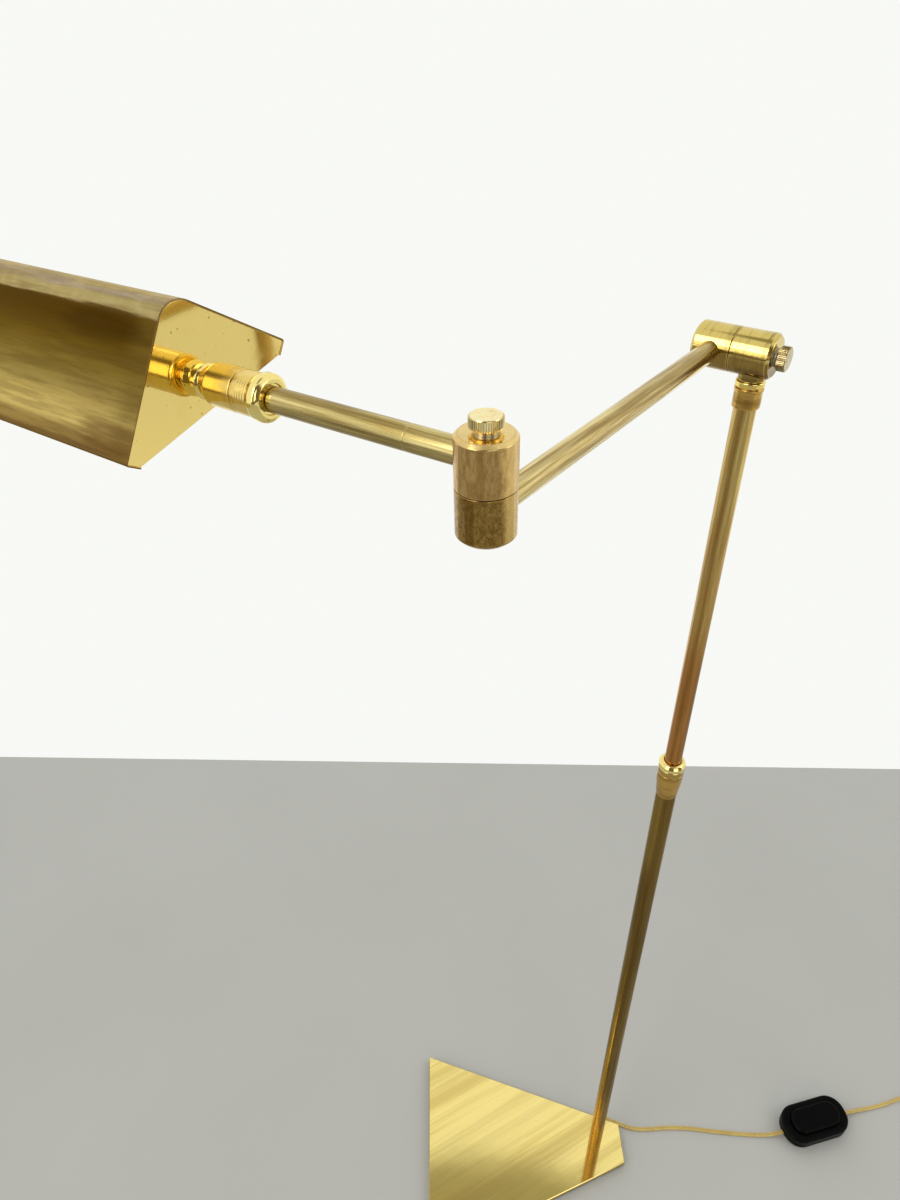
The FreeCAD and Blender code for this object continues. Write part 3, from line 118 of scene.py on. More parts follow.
# Camera
def place_camera():
    """The camera of the photograph: 815 px focal length on a 900 by 1200 frame."""
    view = bpy.data.cameras.new("camera")
    view.sensor_fit = "VERTICAL"
    view.sensor_height = 36.0
    view.lens = 24.45
    view.clip_start = 0.02
    view.clip_end = 60
    camera = bpy.data.objects.new("camera", view)
    bpy.context.scene.collection.objects.link(camera)
    right = Vector((0.99954, -0.01821, -0.02429)).normalized()
    forward = Vector((0.0, 0.8001, -0.5999))
    forward = (forward - right * forward.dot(right)).normalized()
    camera_up = right.cross(forward)
    turn = Matrix((right, camera_up, -forward)).transposed()
    spot = Vector((-0.1918, -0.4859, 1.4059))
    camera.matrix_world = Matrix.Translation(spot) @ turn.to_4x4()
    bpy.context.scene.camera = camera


# Materials
NUMBER = "NodeSocketFloat"
COLOUR = "NodeSocketColor"
VECTOR = "NodeSocketVector"


def new_group(name, inputs, outputs, kind="ShaderNodeTree"):
    """An empty node group with the kinds of its named inputs and outputs, and the sockets at its two ends."""
    tree = bpy.data.node_groups.new(name, kind)
    for way, sockets in (("INPUT", inputs), ("OUTPUT", outputs)):
        for label, socket_kind in sockets.items():
            tree.interface.new_socket(label, in_out=way, socket_type=socket_kind)
    return tree, tree.nodes.new("NodeGroupInput").outputs, tree.nodes.new("NodeGroupOutput").inputs


def feed(value, socket):
    """Link a socket to an input, or set a constant on it."""
    if isinstance(value, bpy.types.NodeSocket):
        socket.id_data.links.new(value, socket)
    else:
        socket.default_value = value


def fill(node, **values):
    """A node's settings and inputs by name, an input's value being a socket or a constant."""
    for key, value in values.items():
        if hasattr(node, key):
            setattr(node, key, value)
        else:
            feed(value, node.inputs[key.replace("_", " ")])
    return node


def add_node(beside, kind, **values):
    """A new node in a tree, or in the tree of another node or socket, with its settings and inputs by name."""
    return fill(beside.id_data.nodes.new(kind), **values)


def mix_colour(factor, first, second):
    """Two colours mixed by a factor socket, each a socket or a constant."""
    node = add_node(factor, "ShaderNodeMix", data_type="RGBA")
    for i, value in ((0, factor), (6, first), (7, second)):
        feed(value, node.inputs[i])
    return node.outputs[2]


def calculate(operation, first, second=0.0):
    """A number worked out from two sockets, or from a socket and a constant."""
    beside = first if isinstance(first, bpy.types.NodeSocket) else second
    node = add_node(beside, "ShaderNodeMath", operation=operation)
    feed(first, node.inputs[0])
    feed(second, node.inputs[1])
    return node.outputs[0]


def times(first, second):
    return calculate("MULTIPLY", first, second)


def plus(first, second):
    return calculate("ADD", first, second)


def less(first, second):
    return calculate("SUBTRACT", first, second)


def spread(value, *limits):
    """A value moved smoothly from one range to another: low, high, and where those go if not to 0 and 1."""
    node = add_node(value, "ShaderNodeMapRange", interpolation_type="SMOOTHSTEP")
    for number, socket in zip((value, *limits), node.inputs):
        feed(number, socket)
    return node.outputs[0]


def noise(vector, scale, detail=4.0, rough=0.55):
    """Noise from a vector socket."""
    node = add_node(vector, "ShaderNodeTexNoise", Vector=vector, Scale=scale, Detail=detail, Roughness=rough)
    return node.outputs["Fac"]


def axes(vector):
    """The three numbers of a vector socket."""
    return add_node(vector, "ShaderNodeSeparateXYZ", Vector=vector).outputs


def coordinates(beside):
    """The object's own coordinates."""
    return add_node(beside, "ShaderNodeTexCoord").outputs["Object"]


def turned_to(shader, where):
    """Object coordinates turned to a piece's own frame."""
    return add_node(shader, "ShaderNodeMapping", vector_type="TEXTURE", Vector=coordinates(shader),
                    Location=where.translation * MM, Rotation=where.to_euler()).outputs[0]


def drawn_out(plain, stretch):
    """Coordinates drawn out by a stretch."""
    return add_node(plain, "ShaderNodeMapping", Vector=plain, Scale=stretch).outputs[0]


def make_tarnish_group():
    """Brass that has stained in drawn-out patches, with fine specks of darker tarnish."""
    tree, start, end = new_group("tarnish", {
        "Drawn": VECTOR, "Plain": VECTOR, "Bright": COLOUR, "Stained": COLOUR, "Specks": COLOUR,
        "Patch Scale": NUMBER, "Patches": NUMBER, "Speck Scale": NUMBER, "Speckled": NUMBER,
    }, {"Colour": COLOUR, "Stain": NUMBER, "Speck": NUMBER})
    broad = noise(start["Drawn"], start["Patch Scale"], 5.0, 0.6)
    finer = noise(start["Drawn"], times(start["Patch Scale"], 5.3), 4.0, 0.65)
    both = plus(times(broad, 0.66), times(finer, 0.34))
    edge = less(0.72, times(start["Patches"], 0.44))
    stain = spread(both, less(edge, 0.09), plus(edge, 0.09))
    grain = noise(start["Plain"], start["Speck Scale"], 3.0, 0.7)
    limit = less(0.74, times(start["Speckled"], 0.3))
    speck = times(spread(grain, limit, plus(limit, 0.06)), start["Speckled"])
    stained = mix_colour(stain, start["Bright"], start["Stained"])
    feed(mix_colour(speck, stained, start["Specks"]), end["Colour"])
    feed(stain, end["Stain"])
    feed(speck, end["Speck"])
    return tree


def make_wear_group():
    """How far a corner is worn bright, from the piece's own edge attribute and broken up by noise."""
    tree, start, end = new_group("worn corners", {"Edge": NUMBER, "Plain": VECTOR, "Strength": NUMBER},
                                 {"Worn": NUMBER})
    broken = spread(noise(start["Plain"], 120.0), 0.3, 0.6, 0.35, 1.0)
    feed(times(times(start["Edge"], broken), start["Strength"]), end["Worn"])
    return tree


def make_scratch_group():
    """A height of fine rubbing marks along the drawn direction, with small pits and slow waves."""
    tree, start, end = new_group("rubbing marks", {
        "Drawn": VECTOR, "Plain": VECTOR, "Lines": NUMBER, "Waves": NUMBER, "Pits": NUMBER,
    }, {"Height": NUMBER, "Pit": NUMBER})
    lines = times(noise(start["Drawn"], 600.0, 3.0, 0.6), times(start["Lines"], 0.02))
    waves = times(noise(start["Plain"], 14.0, 2.0, 0.4), start["Waves"])
    pit = spread(noise(start["Plain"], 420.0, 1.0, 0.3), 0.72, 0.78)
    pit = times(pit, start["Pits"])
    feed(less(plus(lines, waves), times(pit, 0.05)), end["Height"])
    feed(pit, end["Pit"])
    return tree


TARNISH = make_tarnish_group()
WORN = make_wear_group()
RUBBED = make_scratch_group()


def new_material(name):
    """A node material with its shader, ready to be filled."""
    material = bpy.data.materials.new(name)
    material.use_nodes = True
    return material, material.node_tree.nodes["Principled BSDF"]


def worn_corners(plain, strength):
    """How far each of a piece's corners is worn."""
    edge = add_node(plain, "ShaderNodeAttribute", attribute_name="edge").outputs["Fac"]
    return add_node(plain, "ShaderNodeGroup", node_tree=WORN, Edge=edge, Plain=plain, Strength=strength).outputs[0]


def add_relief(shader, height, strength, distance):
    """Small ups and downs of the surface, from a height."""
    relief = add_node(shader, "ShaderNodeBump", Height=height, Strength=strength, Distance=distance)
    fill(shader, Normal=relief.outputs[0])


def colour_of(red, green, blue):
    """A colour from display values of 0 to 255."""
    linear = [c / 255 / 12.92 if c <= 10 else ((c / 255 + 0.055) / 1.055) ** 2.4 for c in (red, green, blue)]
    return (*linear, 1.0)


def stains_and_painted_light(plain, drawn, colour, bands, spots):
    """Ragged bands of colour across one of the piece's axes, and ragged round spots, in millimetres."""
    place = axes(plain)
    fine = times(less(noise(drawn, 260.0, 4.0, 0.6), 0.5), 0.8)
    broad = times(less(noise(drawn, 55.0, 4.0, 0.6), 0.5), 0.6)
    wander = plus(broad, fine)
    for axis, low, high, soft, ragged, share, tone in bands:
        spot = plus(place[axis], times(wander, 2 * ragged * MM))
        rising = spread(spot, (low - soft) * MM, (low + soft) * MM)
        falling = spread(spot, (high - soft) * MM, (high + soft) * MM, share, 0.0)
        colour = mix_colour(times(rising, falling), colour, colour_of(*tone))
    for centre, radii, share, tone in spots:
        shift = add_node(plain, "ShaderNodeVectorMath", operation="SUBTRACT", Vector=plain)
        shift.inputs[1].default_value = Vector(centre) * MM
        shrink = add_node(plain, "ShaderNodeVectorMath", operation="DIVIDE", Vector=shift.outputs[0])
        shrink.inputs[1].default_value = Vector(radii) * MM
        reach = add_node(plain, "ShaderNodeVectorMath", operation="LENGTH", Vector=shrink.outputs[0])
        edge = plus(reach.outputs["Value"], times(wander, 1.6))
        colour = mix_colour(spread(edge, 0.55, 1.1, share, 0.0), colour, colour_of(*tone))
    return colour


LENGTHWISE = (1.0, 1.0, 0.03)
AROUND = (0.12, 0.12, 1.0)
EVEN = (1, 1, 1)
PALE_GOLD = (252, 230, 146)
GOLD = (240, 208, 118)
BROWN = (132, 96, 48)
DARK = (74, 50, 20)
DUST = (0.35, 0.34, 0.32, 1)


def brass(name, where, stretch, bright, stained, patches, patch_scale, speckled=0.2, specks=DARK, speck_scale=500.0,
          rough=0.14, stain_rough=0.16, lines=0.5, waves=0.4, pits=0.0, bands=(), spots=(), streaks=0.0,
          streak_scale=200.0, slant=(1.0, 1.0, 1.0, 1.0)):
    """Brass with its own tarnish, worn corners and rubbing marks, and any bands and spots given: stains on some pieces,
    painted reflections, highlights and shade on others, all drawn along one direction of its piece. Slant is the tint
    that is left where the surface is seen at a grazing angle."""
    bright, stained, specks = (colour_of(*tone) for tone in (bright, stained, specks))
    material, shader = new_material(name)
    plain = turned_to(shader, where)
    drawn = drawn_out(plain, stretch)
    stains = add_node(plain, "ShaderNodeGroup", node_tree=TARNISH, Drawn=drawn, Plain=plain, Bright=bright,
                      Stained=stained, Specks=specks, Patch_Scale=patch_scale, Patches=patches,
                      Speck_Scale=speck_scale, Speckled=speckled).outputs
    tone = stains["Colour"]
    if bands or spots:
        tone = stains_and_painted_light(plain, drawn, tone, bands, spots)
    # Streaks in the specks' tone along the drawn direction: random streaks on most pieces, painted reflections of
    # ceiling beams on the base plate
    if streaks:
        share = spread(noise(drawn, streak_scale, 5.0, 0.65), 0.4, 0.62, 0.0, streaks)
        tone = mix_colour(share, tone, specks)
    worn = worn_corners(plain, 0.7)
    marks = add_node(plain, "ShaderNodeGroup", node_tree=RUBBED, Drawn=drawn, Plain=plain, Lines=lines, Waves=waves,
                     Pits=pits).outputs
    colour = mix_colour(marks["Pit"], mix_colour(worn, tone, bright), specks)
    dull = plus(times(stains["Stain"], stain_rough), times(stains["Speck"], 0.2))
    dull = plus(times(dull, less(1.0, worn)), rough)
    fill(shader, Base_Color=colour, Roughness=dull, Metallic=1.0, Specular_Tint=slant)
    add_relief(shader, marks["Height"], 0.3, 0.0006)
    return material


def moulded(name, where, colour, rough, grain_scale, grain, shine=0.5, dusty=0.1):
    """Moulded plastic, rubber or felt: a fine grain, a little dust and worn corners."""
    material, shader = new_material(name)
    plain = turned_to(shader, where)
    cloud = spread(noise(plain, 45.0, 5.0, 0.6), 0.5, 0.8, 0.0, dusty)
    paler = (*(min(1, c * 1.8 + 0.01) for c in colour[:3]), 1)
    tone = mix_colour(worn_corners(plain, 0.25), mix_colour(cloud, colour, DUST), paler)
    fill(shader, Base_Color=tone, Roughness=plus(times(cloud, 0.8), rough),
         Specular_IOR_Level=shine)
    add_relief(shader, noise(plain, grain_scale, 3.0, 0.6), grain, 0.0003)
    return material


def plated(name, where, colour, rough):
    """Bright plated steel or nickel with faint turning lines."""
    material, shader = new_material(name)
    plain = turned_to(shader, where)
    cloud = noise(plain, 160.0)
    tone = mix_colour(cloud, colour, (*(c * 0.8 for c in colour[:3]), 1))
    fill(shader, Base_Color=tone, Roughness=spread(cloud, 0.3, 0.7, rough, rough + 0.12), Metallic=1.0)
    add_relief(shader, noise(drawn_out(plain, AROUND), 700.0), 0.2, 0.0002)
    return material


# Each brass: its frame and its drawn direction, its bright and its stained tone, how much is stained and how finely,
# and how speckled it is. A band: axis, low, high, softness, raggedness, strength and tone. Lengths in millimetres
# The base plate's diagonal streaks, drawn 27 degrees across it, are painted reflections of beams on the ceiling; its
# tarnish and rubbing marks are drawn the same way
AT_POLISH_AND_REFLECTED_STREAKS = Matrix.Rotation(math.radians(27), 4, "Z")
plate_brass = brass("polished plate brass", AT_POLISH_AND_REFLECTED_STREAKS, (0.03, 1, 1), PALE_GOLD, (238, 212, 128), 0.4, 30.0, 0.05,
                    rough=0.07, stain_rough=0.04, lines=0.3, waves=0.55, pits=0.2, streaks=0.12, streak_scale=60.0,
                    bands=(("Z", -5, 11.3, 0.3, 0.0, 0.6, (150, 118, 58)),))
# Its bands across X are painted reflections: a narrow bright line with a dark streak beside it, and darker sides; its
# bright orange band at the foot is a painted reflection of the base plate
lower_tube_brass = brass(
    "lower pole brass", AT_PLATE, LENGTHWISE, (158, 132, 76), (112, 88, 42), 0.5, 130.0, 0.15, streaks=0.35,
    slant=(0.96, 0.88, 0.7, 1.0), bands=(
        ("Z", 340, 660, 60, 40, 0.5, (122, 96, 46)), ("Z", 690, 900, 30, 30, 0.6, (176, 146, 78)),
        ("X", -5.4, -1.8, 0.8, 2.4, 0.6, (104, 70, 14)), ("X", -12, -5.5, 1.5, 2.0, 0.3, (96, 70, 22)),
        ("Z", -10, 165, 45, 30, 0.85, (216, 164, 76)), ("X", -1.5, 12, 2.5, 2.0, 0.5, (106, 80, 36))))
# Its band across X is a painted reflection: a dark streak down one side
upper_tube_brass = brass(
    "upper pole brass", AT_PLATE, LENGTHWISE, (244, 218, 140), (190, 156, 86), 0.5, 130.0, 0.15, streaks=0.3, bands=(
        ("Z", 985, 1110, 40, 30, 0.4, (204, 152, 80)), ("Z", 560, 985, 40, 30, 0.85, (194, 132, 70)),
        ("X", -5.2, -2.6, 0.7, 1.6, 0.5, (150, 98, 34))))
collet_brass = brass("clamp brass", AT_PLATE, AROUND, (208, 168, 88), (158, 122, 58), 0.4, 90.0, rough=0.12)
collar_brass = brass("clamp collar brass", AT_PLATE, AROUND, (250, 230, 150), (224, 194, 112), 0.3, 90.0, 0.1,
                     rough=0.1, bands=(("Z", 800, 840.3, 0.2, 0.0, 0.9, (188, 152, 78)),))
# The top of the boss, in the neck under the joint, is painted dark as shade
boss_brass = brass("boss brass", AT_PLATE, AROUND, (246, 218, 124), (206, 170, 84), 0.3, 90.0, 0.1, rough=0.1,
                   bands=(("Z", 1194.8, 1300, 0.5, 0.4, 0.85, (96, 62, 22)),))
# The joint's underside is painted darker as shade, with a darker painted shadow under it where it meets the pole
tilt_brass = brass("top joint brass", AT_TILT_STUD, AROUND, (222, 198, 116), (170, 146, 76), 0.4, 110.0, rough=0.1,
                   bands=(("Y", -0.6, 30, 1.5, 2.0, 0.7, (122, 84, 34)),),
                   spots=(((0, 14, 14), (24, 11, 16), 0.7, (88, 54, 16)),))
# Painted light on the lower half: a dark vertical streak as a painted reflection, and its side towards the top joint
# painted lighter as a highlight
elbow_brass = brass("elbow brass", AT_ELBOW_STUD, (1, 1, 0.6), (178, 144, 80), (142, 108, 52), 0.5, 620.0, 0.6,
                    speck_scale=1100.0, rough=0.15, stain_rough=0.1, bands=(
                        ("Y", -3.4, 1.2, 0.7, 0.8, 0.6, (112, 78, 28)),
                        ("X", -4.5, 20, 2.0, 1.6, 0.8, (216, 184, 114))))
# Painted light on the upper half: the same side painted lighter as a highlight, two thin dark lines on the opposite
# side as painted reflections, and its top face and chamfer painted brighter as a highlight
elbow_top_brass = brass("elbow top brass", AT_ELBOW_KNOB, (1, 1, 0.35), (214, 178, 114), (180, 142, 86), 0.5, 460.0,
                        0.45, BROWN, speck_scale=1100.0, stain_rough=0.1, bands=(
                            ("Y", 12.2, 13.3, 0.4, 1.0, 0.5, (166, 126, 70)),
                            ("Y", -20, 5.5, 2.0, 1.6, 0.6, (232, 200, 130)),
                            ("Z", 22.8, 30, 0.3, 0.3, 0.6, (246, 220, 148))))
elbow_knob_brass = brass("elbow knob brass", AT_ELBOW_KNOB, EVEN, (255, 238, 180), (240, 210, 146), 0.4, 200.0, 0.3,
                         BROWN, speck_scale=900.0)
top_knob_brass = brass("top joint knob brass", AT_TILT_KNOB, EVEN, (198, 180, 134), (150, 128, 84), 0.4, 200.0, 0.3,
                       speck_scale=900.0)
arm_one_brass = brass("first arm brass", AT_ARM_ONE, LENGTHWISE, (244, 224, 158), (188, 160, 98), 0.5, 170.0, 0.25,
                      speck_scale=900.0, rough=0.12, streaks=0.35, streak_scale=300.0)
arm_two_brass = brass("second arm brass", AT_ARM_TWO, LENGTHWISE, (234, 216, 148), (172, 148, 86), 0.5, 170.0,
                      speck_scale=900.0, rough=0.12, streaks=0.35, streak_scale=300.0)
ring_brass = brass("swivel ring brass", AT_ARM_TWO, AROUND, PALE_GOLD, GOLD, 0.2, 90.0, 0.05, rough=0.07)
sleeve_brass = brass("swivel sleeve brass", AT_ARM_TWO, AROUND, (244, 214, 128), (206, 156, 74), 0.35, 90.0, rough=0.16)
cup_brass = brass("swivel cup brass", AT_SHADE, AROUND, (248, 218, 122), (224, 186, 96), 0.35, 60.0, 0.1, rough=0.2,
                  stain_rough=0.08)
# Up the shade's slope, darker towards the ridge, partly tarnish and partly painted reflection of the room: the height
# in millimetres from which each tone holds, how softly it starts and how raggedly
SLOPE_TONES = (
    (-9.0, 1.0, 1.5, (160, 132, 74)), (-4.5, 2.0, 3.0, (208, 182, 108)), (4.0, 5.0, 4.0, (172, 148, 82)),
    (8.5, 5.0, 5.0, (148, 126, 66)), (14.0, 5.0, 5.0, (126, 102, 40)), (21.0, 5.0, 5.0, (98, 72, 14)),
    (30.0, 4.0, 4.0, (78, 50, 4)))
# Along the ridge, a pale gold strip and a pale violet-grey strip on its crown are painted reflections of the ceiling
shade_brass = brass(
    "shade sheet brass", AT_SHADE, (1.0, 1.0, 0.08), (120, 92, 50), (92, 66, 40), 0.5, 60.0, speck_scale=700.0,
    rough=0.24, stain_rough=0.12, lines=1.0, waves=0.8, streaks=0.34, streak_scale=240.0, slant=(0.96, 0.84, 0.58, 1.0),
    bands=(*(("Y", low, 200, soft, ragged, 0.94, tone) for low, soft, ragged, tone in SLOPE_TONES),
           ("Z", 100, 186, 8.0, 8.0, 0.5, (116, 94, 38)), ("Y", 39.4, 200, 0.8, 3.4, 0.94, (198, 180, 124)),
           ("Y", 42.6, 200, 0.7, 2.8, 0.94, (196, 180, 164))),
    spots=(((16, 33, 208), (22, 7, 40), 0.5, (52, 32, 2)), ((54, -4, 184), (16, 8, 30), 0.6, (104, 70, 34))))
shade_inner_brass = brass("shade inner brass", AT_SHADE, EVEN, GOLD, (206, 142, 56), 0.4, 20.0, 0.1, rough=0.35,
                          stain_rough=0.1)
end_plate_brass = brass("shade end plate brass", AT_SHADE, EVEN, (246, 220, 136), GOLD, 0.25, 18.0, 0.05, BROWN,
                        rough=0.06, stain_rough=0.06, pits=0.6)
felt_cloth = moulded("felt", AT_FLOOR, (0.018, 0.03, 0.02, 1), 0.95, 900.0, 1.0, dusty=0.2)
black_plastic = moulded("switch plastic", AT_SWITCH, (0.0012, 0.0012, 0.0012, 1), 0.35, 250.0, 0.12, shine=0.05,
                        dusty=0.006)
plug_plastic = moulded("plug plastic", AT_PLUG, (0.012, 0.012, 0.013, 1), 0.45, 900.0, 0.3, dusty=0.08)
holder_plastic = moulded("lamp holder plastic", AT_SHADE, (0.02, 0.014, 0.01, 1), 0.25, 300.0, 0.15, dusty=0.08)
rubber = moulded("rubber", AT_SWITCH, (0.02, 0.02, 0.02, 1), 0.8, 800.0, 0.5)
nylon = moulded("nylon", AT_PLATE, (0.66, 0.64, 0.58, 1), 0.4, 300.0, 0.15)
fibre = moulded("vulcanised fibre", AT_PLATE, (0.07, 0.025, 0.012, 1), 0.7, 800.0, 0.4)
steel = plated("zinc plated steel", AT_PLATE, (0.55, 0.55, 0.53, 1), 0.3)
nickel = plated("nickel", AT_PLUG, (0.72, 0.7, 0.66, 1), 0.16)


# Pieces
BODY_OF = {node: body for body, nodes in frame["record"]["behaviour"]["bodies"].items() for node in nodes}
AROUND_STEPS = 96
# A rounded corner: its steps, its radius if it names none, the flat kept beside it, and how much of a side the
# rounding and the flat may take
ARC_STEPS = 4
FINE_ROUNDING = 0.1
ARC_MARGIN = 0.5
ARC_SHARE = 0.45
MARGIN_SHARE = 0.48
CORNER_STEPS = 14


def add_object(name, data):
    """A new object in the scene."""
    thing = bpy.data.objects.new(name, data)
    bpy.context.scene.collection.objects.link(thing)
    return thing


def add_piece(name, shell, material, slot, body, *nodes, sharp=32.0):
    """A smooth piece with its sharp corners kept, from an outline built in a bmesh, put on its body and in place of
    CAD nodes if any are named."""
    bmesh.ops.remove_doubles(shell, verts=shell.verts, dist=1e-7)
    bmesh.ops.recalc_face_normals(shell, faces=shell.faces)
    for face in shell.faces:
        face.smooth = True
    mesh = bpy.data.meshes.new(name)
    shell.to_mesh(mesh)
    shell.free()
    mesh.set_sharp_from_angle(angle=math.radians(sharp))
    mesh.materials.append(material)
    piece = add_object(name, mesh)
    even = piece.modifiers.new("even normals", "WEIGHTED_NORMAL")
    even.keep_sharp = True
    even.weight = 90
    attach(piece, body)
    if nodes:
        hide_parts(*nodes)
    return piece


def skin_rows(rows, where, closed=False, shell=None):
    """Faces from row to row of points, each given with its edge weight. A row of one point makes a fan. They are
    added to a shell if one is given."""
    shell = shell or bmesh.new()
    layers = shell.verts.layers.float
    edge_layer = layers.get("edge") or layers.new("edge")
    place = Matrix.Scale(MM, 4) @ where
    made = []
    for row in rows:
        made.append([shell.verts.new(place @ spot) for spot, edge in row])
        for vertex, (spot, edge) in zip(made[-1], row):
            vertex[edge_layer] = edge
    for low, high in zip(made, made[1:] + made[:1] * closed):
        count = max(len(low), len(high))
        for i in range(count if count > 1 else 0):
            k = (i + 1) % count
            if len(low) == 1:
                shell.faces.new((low[0], high[i], high[k]))
            elif len(high) == 1:
                shell.faces.new((low[i], low[k], high[0]))
            else:
                shell.faces.new((low[i], low[k], high[k], high[i]))
    return shell, made


def close_ends(shell, made):
    """One face over each end of a skin."""
    shell.faces.new(made[0])
    shell.faces.new(made[-1])
    return shell


def round_corners(corners, ring):
    """Corners given as (radius, height, rounding) turned into points with arcs, each with its edge weight. One given
    as (radius, height) has the usual fine rounding."""
    points = []
    for i, corner in enumerate(corners):
        x, y, rounding = (*corner, FINE_ROUNDING)[:3]
        here = Vector((x, y))
        ends = not ring and i in (0, len(corners) - 1)
        if rounding <= 0 or ends:
            points.append((here, 0.0 if ends else 0.6))
            continue
        sides = [Vector(corners[k % len(corners)][:2]) - here for k in (i - 1, i + 1)]
        turn = sides[0].angle(sides[1])
        reach = min(rounding / math.tan(turn / 2), *(side.length * ARC_SHARE for side in sides))
        radius = reach * math.tan(turn / 2)
        back, ahead = (side.normalized() for side in sides)
        centre = here + (back + ahead).normalized() * (radius / math.sin(turn / 2))
        first, last = (here + way * reach - centre for way in (back, ahead))
        arc = [(centre + first.lerp(last, k / ARC_STEPS).normalized() * radius, 1.0) for k in range(ARC_STEPS + 1)]
        margins = [[(here + way * (reach + ARC_MARGIN), 0.0)] if reach + ARC_MARGIN < side.length * MARGIN_SHARE else []
                   for way, side in zip((back, ahead), sides)]
        points += margins[0] + arc + margins[1]
    return points


def turned_shell(corners, where, count=AROUND_STEPS, shell=None):
    """A solid of revolution about the frame's Z axis, from corners given as (radius, height, rounding).
    A section that doesn't start on the axis closes round to its first corner."""
    ring = corners[0][0] > 0
    rows = []
    for point, edge in round_corners(corners, ring):
        angles = [math.tau * i / count for i in range(count if point.x > 1e-6 else 1)]
        rows.append([(Vector((point.x * math.cos(a), point.x * math.sin(a), point.y)), edge) for a in angles])
    return skin_rows(rows, where, ring, shell)[0]


def turned_piece(name, node, where, material, slot, corners, lift=0.0):
    """A turned piece in place of a CAD node, on the node's body. A lift moves it along its axis."""
    shell = turned_shell(corners, where @ Matrix.Translation(UP * lift))
    add_piece(name, shell, material, slot, BODY_OF[node], node)


def tube_corners(inner, outer, low, high, rounding=0.25):
    """A plain tube's corners."""
    return [(inner, low), (outer, low, rounding), (outer, high, rounding), (inner, high)]


def stacked_piece(name, node, where, material, slot, rings, closed=False):
    """A body of rounded rectangles stacked along Z in place of a CAD node, each as (half x, half y, corner, height,
    edge). A closed one runs from its last ring back to its first."""
    rows = []
    for half_x, half_y, corner, height, edge in rings:
        row = []
        for quarter, (x, y) in enumerate(((1, 1), (-1, 1), (-1, -1), (1, -1))):
            for i in range(CORNER_STEPS + 1):
                angle = math.radians(90 * quarter + 90 * i / CORNER_STEPS)
                row.append((Vector((x * (half_x - corner) + corner * math.cos(angle),
                                    y * (half_y - corner) + corner * math.sin(angle), height)), edge))
        rows.append(row)
    shell, made = skin_rows(rows, where, closed)
    if not closed:
        close_ends(shell, made)
    add_piece(name, shell, material, slot, BODY_OF[node], node)


def drawn_in(size, *steps):
    """Rings of one rounded rectangle (half x, half y, corner), at each step of (inset, height, edge)."""
    return [(*(measure - inset for measure in size), height, edge) for inset, height, edge in steps]


def softened(size, low, high, radius):
    """Rings of a block's side and its rounded upper edge."""
    arc = []
    for i in range(6):
        angle = math.pi / 10 * i
        arc.append((radius * (1 - math.cos(angle)), high - radius + radius * math.sin(angle), 1.0))
    return drawn_in(size, (0, low, 0.0), (0, high - radius - 0.3, 0.0), *arc, (radius + 0.5, high, 0.0))


# Ridges and ribs repeated round a circle
def make_ridge_tree():
    """Geometry nodes for straight six-sided ridges standing round a circle, as on a knurled knob."""
    tree, start, end = new_group("ridges round a circle", {
        "Count": "NodeSocketInt", "Radius": NUMBER, "Ridge Radius": NUMBER, "Ridge Length": NUMBER, "Height": NUMBER,
        "Material": "NodeSocketMaterial"}, {"Geometry": "NodeSocketGeometry"}, "GeometryNodeTree")
    circle = add_node(tree, "GeometryNodeMeshCircle", Vertices=start["Count"], Radius=start["Radius"])
    ridge = add_node(tree, "GeometryNodeMeshCylinder", fill_type="NGON", Vertices=6, Radius=start["Ridge Radius"],
                     Depth=start["Ridge Length"])
    spot = axes(add_node(tree, "GeometryNodeInputPosition").outputs[0])
    turn = add_node(tree, "ShaderNodeCombineXYZ", Z=calculate("ARCTAN2", spot["Y"], spot["X"]))
    copies = add_node(tree, "GeometryNodeInstanceOnPoints", Points=circle.outputs["Mesh"],
                      Instance=ridge.outputs["Mesh"], Rotation=turn.outputs[0])
    lift = add_node(tree, "ShaderNodeCombineXYZ", Z=start["Height"])
    move = add_node(tree, "GeometryNodeTransform", Geometry=copies.outputs[0], Translation=lift.outputs[0])
    solid = add_node(tree, "GeometryNodeRealizeInstances", Geometry=move.outputs[0])
    paint = add_node(tree, "GeometryNodeSetMaterial", Geometry=solid.outputs[0], Material=start["Material"])
    feed(paint.outputs[0], end["Geometry"])
    return tree


RIDGES = make_ridge_tree()


def evaluated_mesh(holder):
    """The mesh that an object's modifiers or curve give. The object itself goes."""
    mesh = bpy.data.meshes.new_from_object(holder.evaluated_get(bpy.context.evaluated_depsgraph_get()))
    bpy.data.objects.remove(holder)
    return mesh


def ridge_piece(name, where, material, slot, body, **sizes):
    """Ridges round a circle as a plain mesh on a body. Sizes are in millimetres, counts are whole numbers."""
    holder = add_object(name + "_maker", bpy.data.meshes.new(name + "_maker"))
    maker = holder.modifiers.new("ridges", "NODES")
    maker.node_group = RIDGES
    for socket in RIDGES.interface.items_tree:
        if socket.name == "Material":
            maker[socket.identifier] = material
        elif socket.in_out == "INPUT":
            value = sizes[socket.name.lower().replace(" ", "_")]
            maker[socket.identifier] = value if isinstance(value, int) else value * MM
    mesh = evaluated_mesh(holder)
    mesh.name = name
    mesh.transform(Matrix.Translation(where.translation * MM) @ where.to_3x3().to_4x4())
    piece = add_object(name, mesh)
    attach(piece, body)


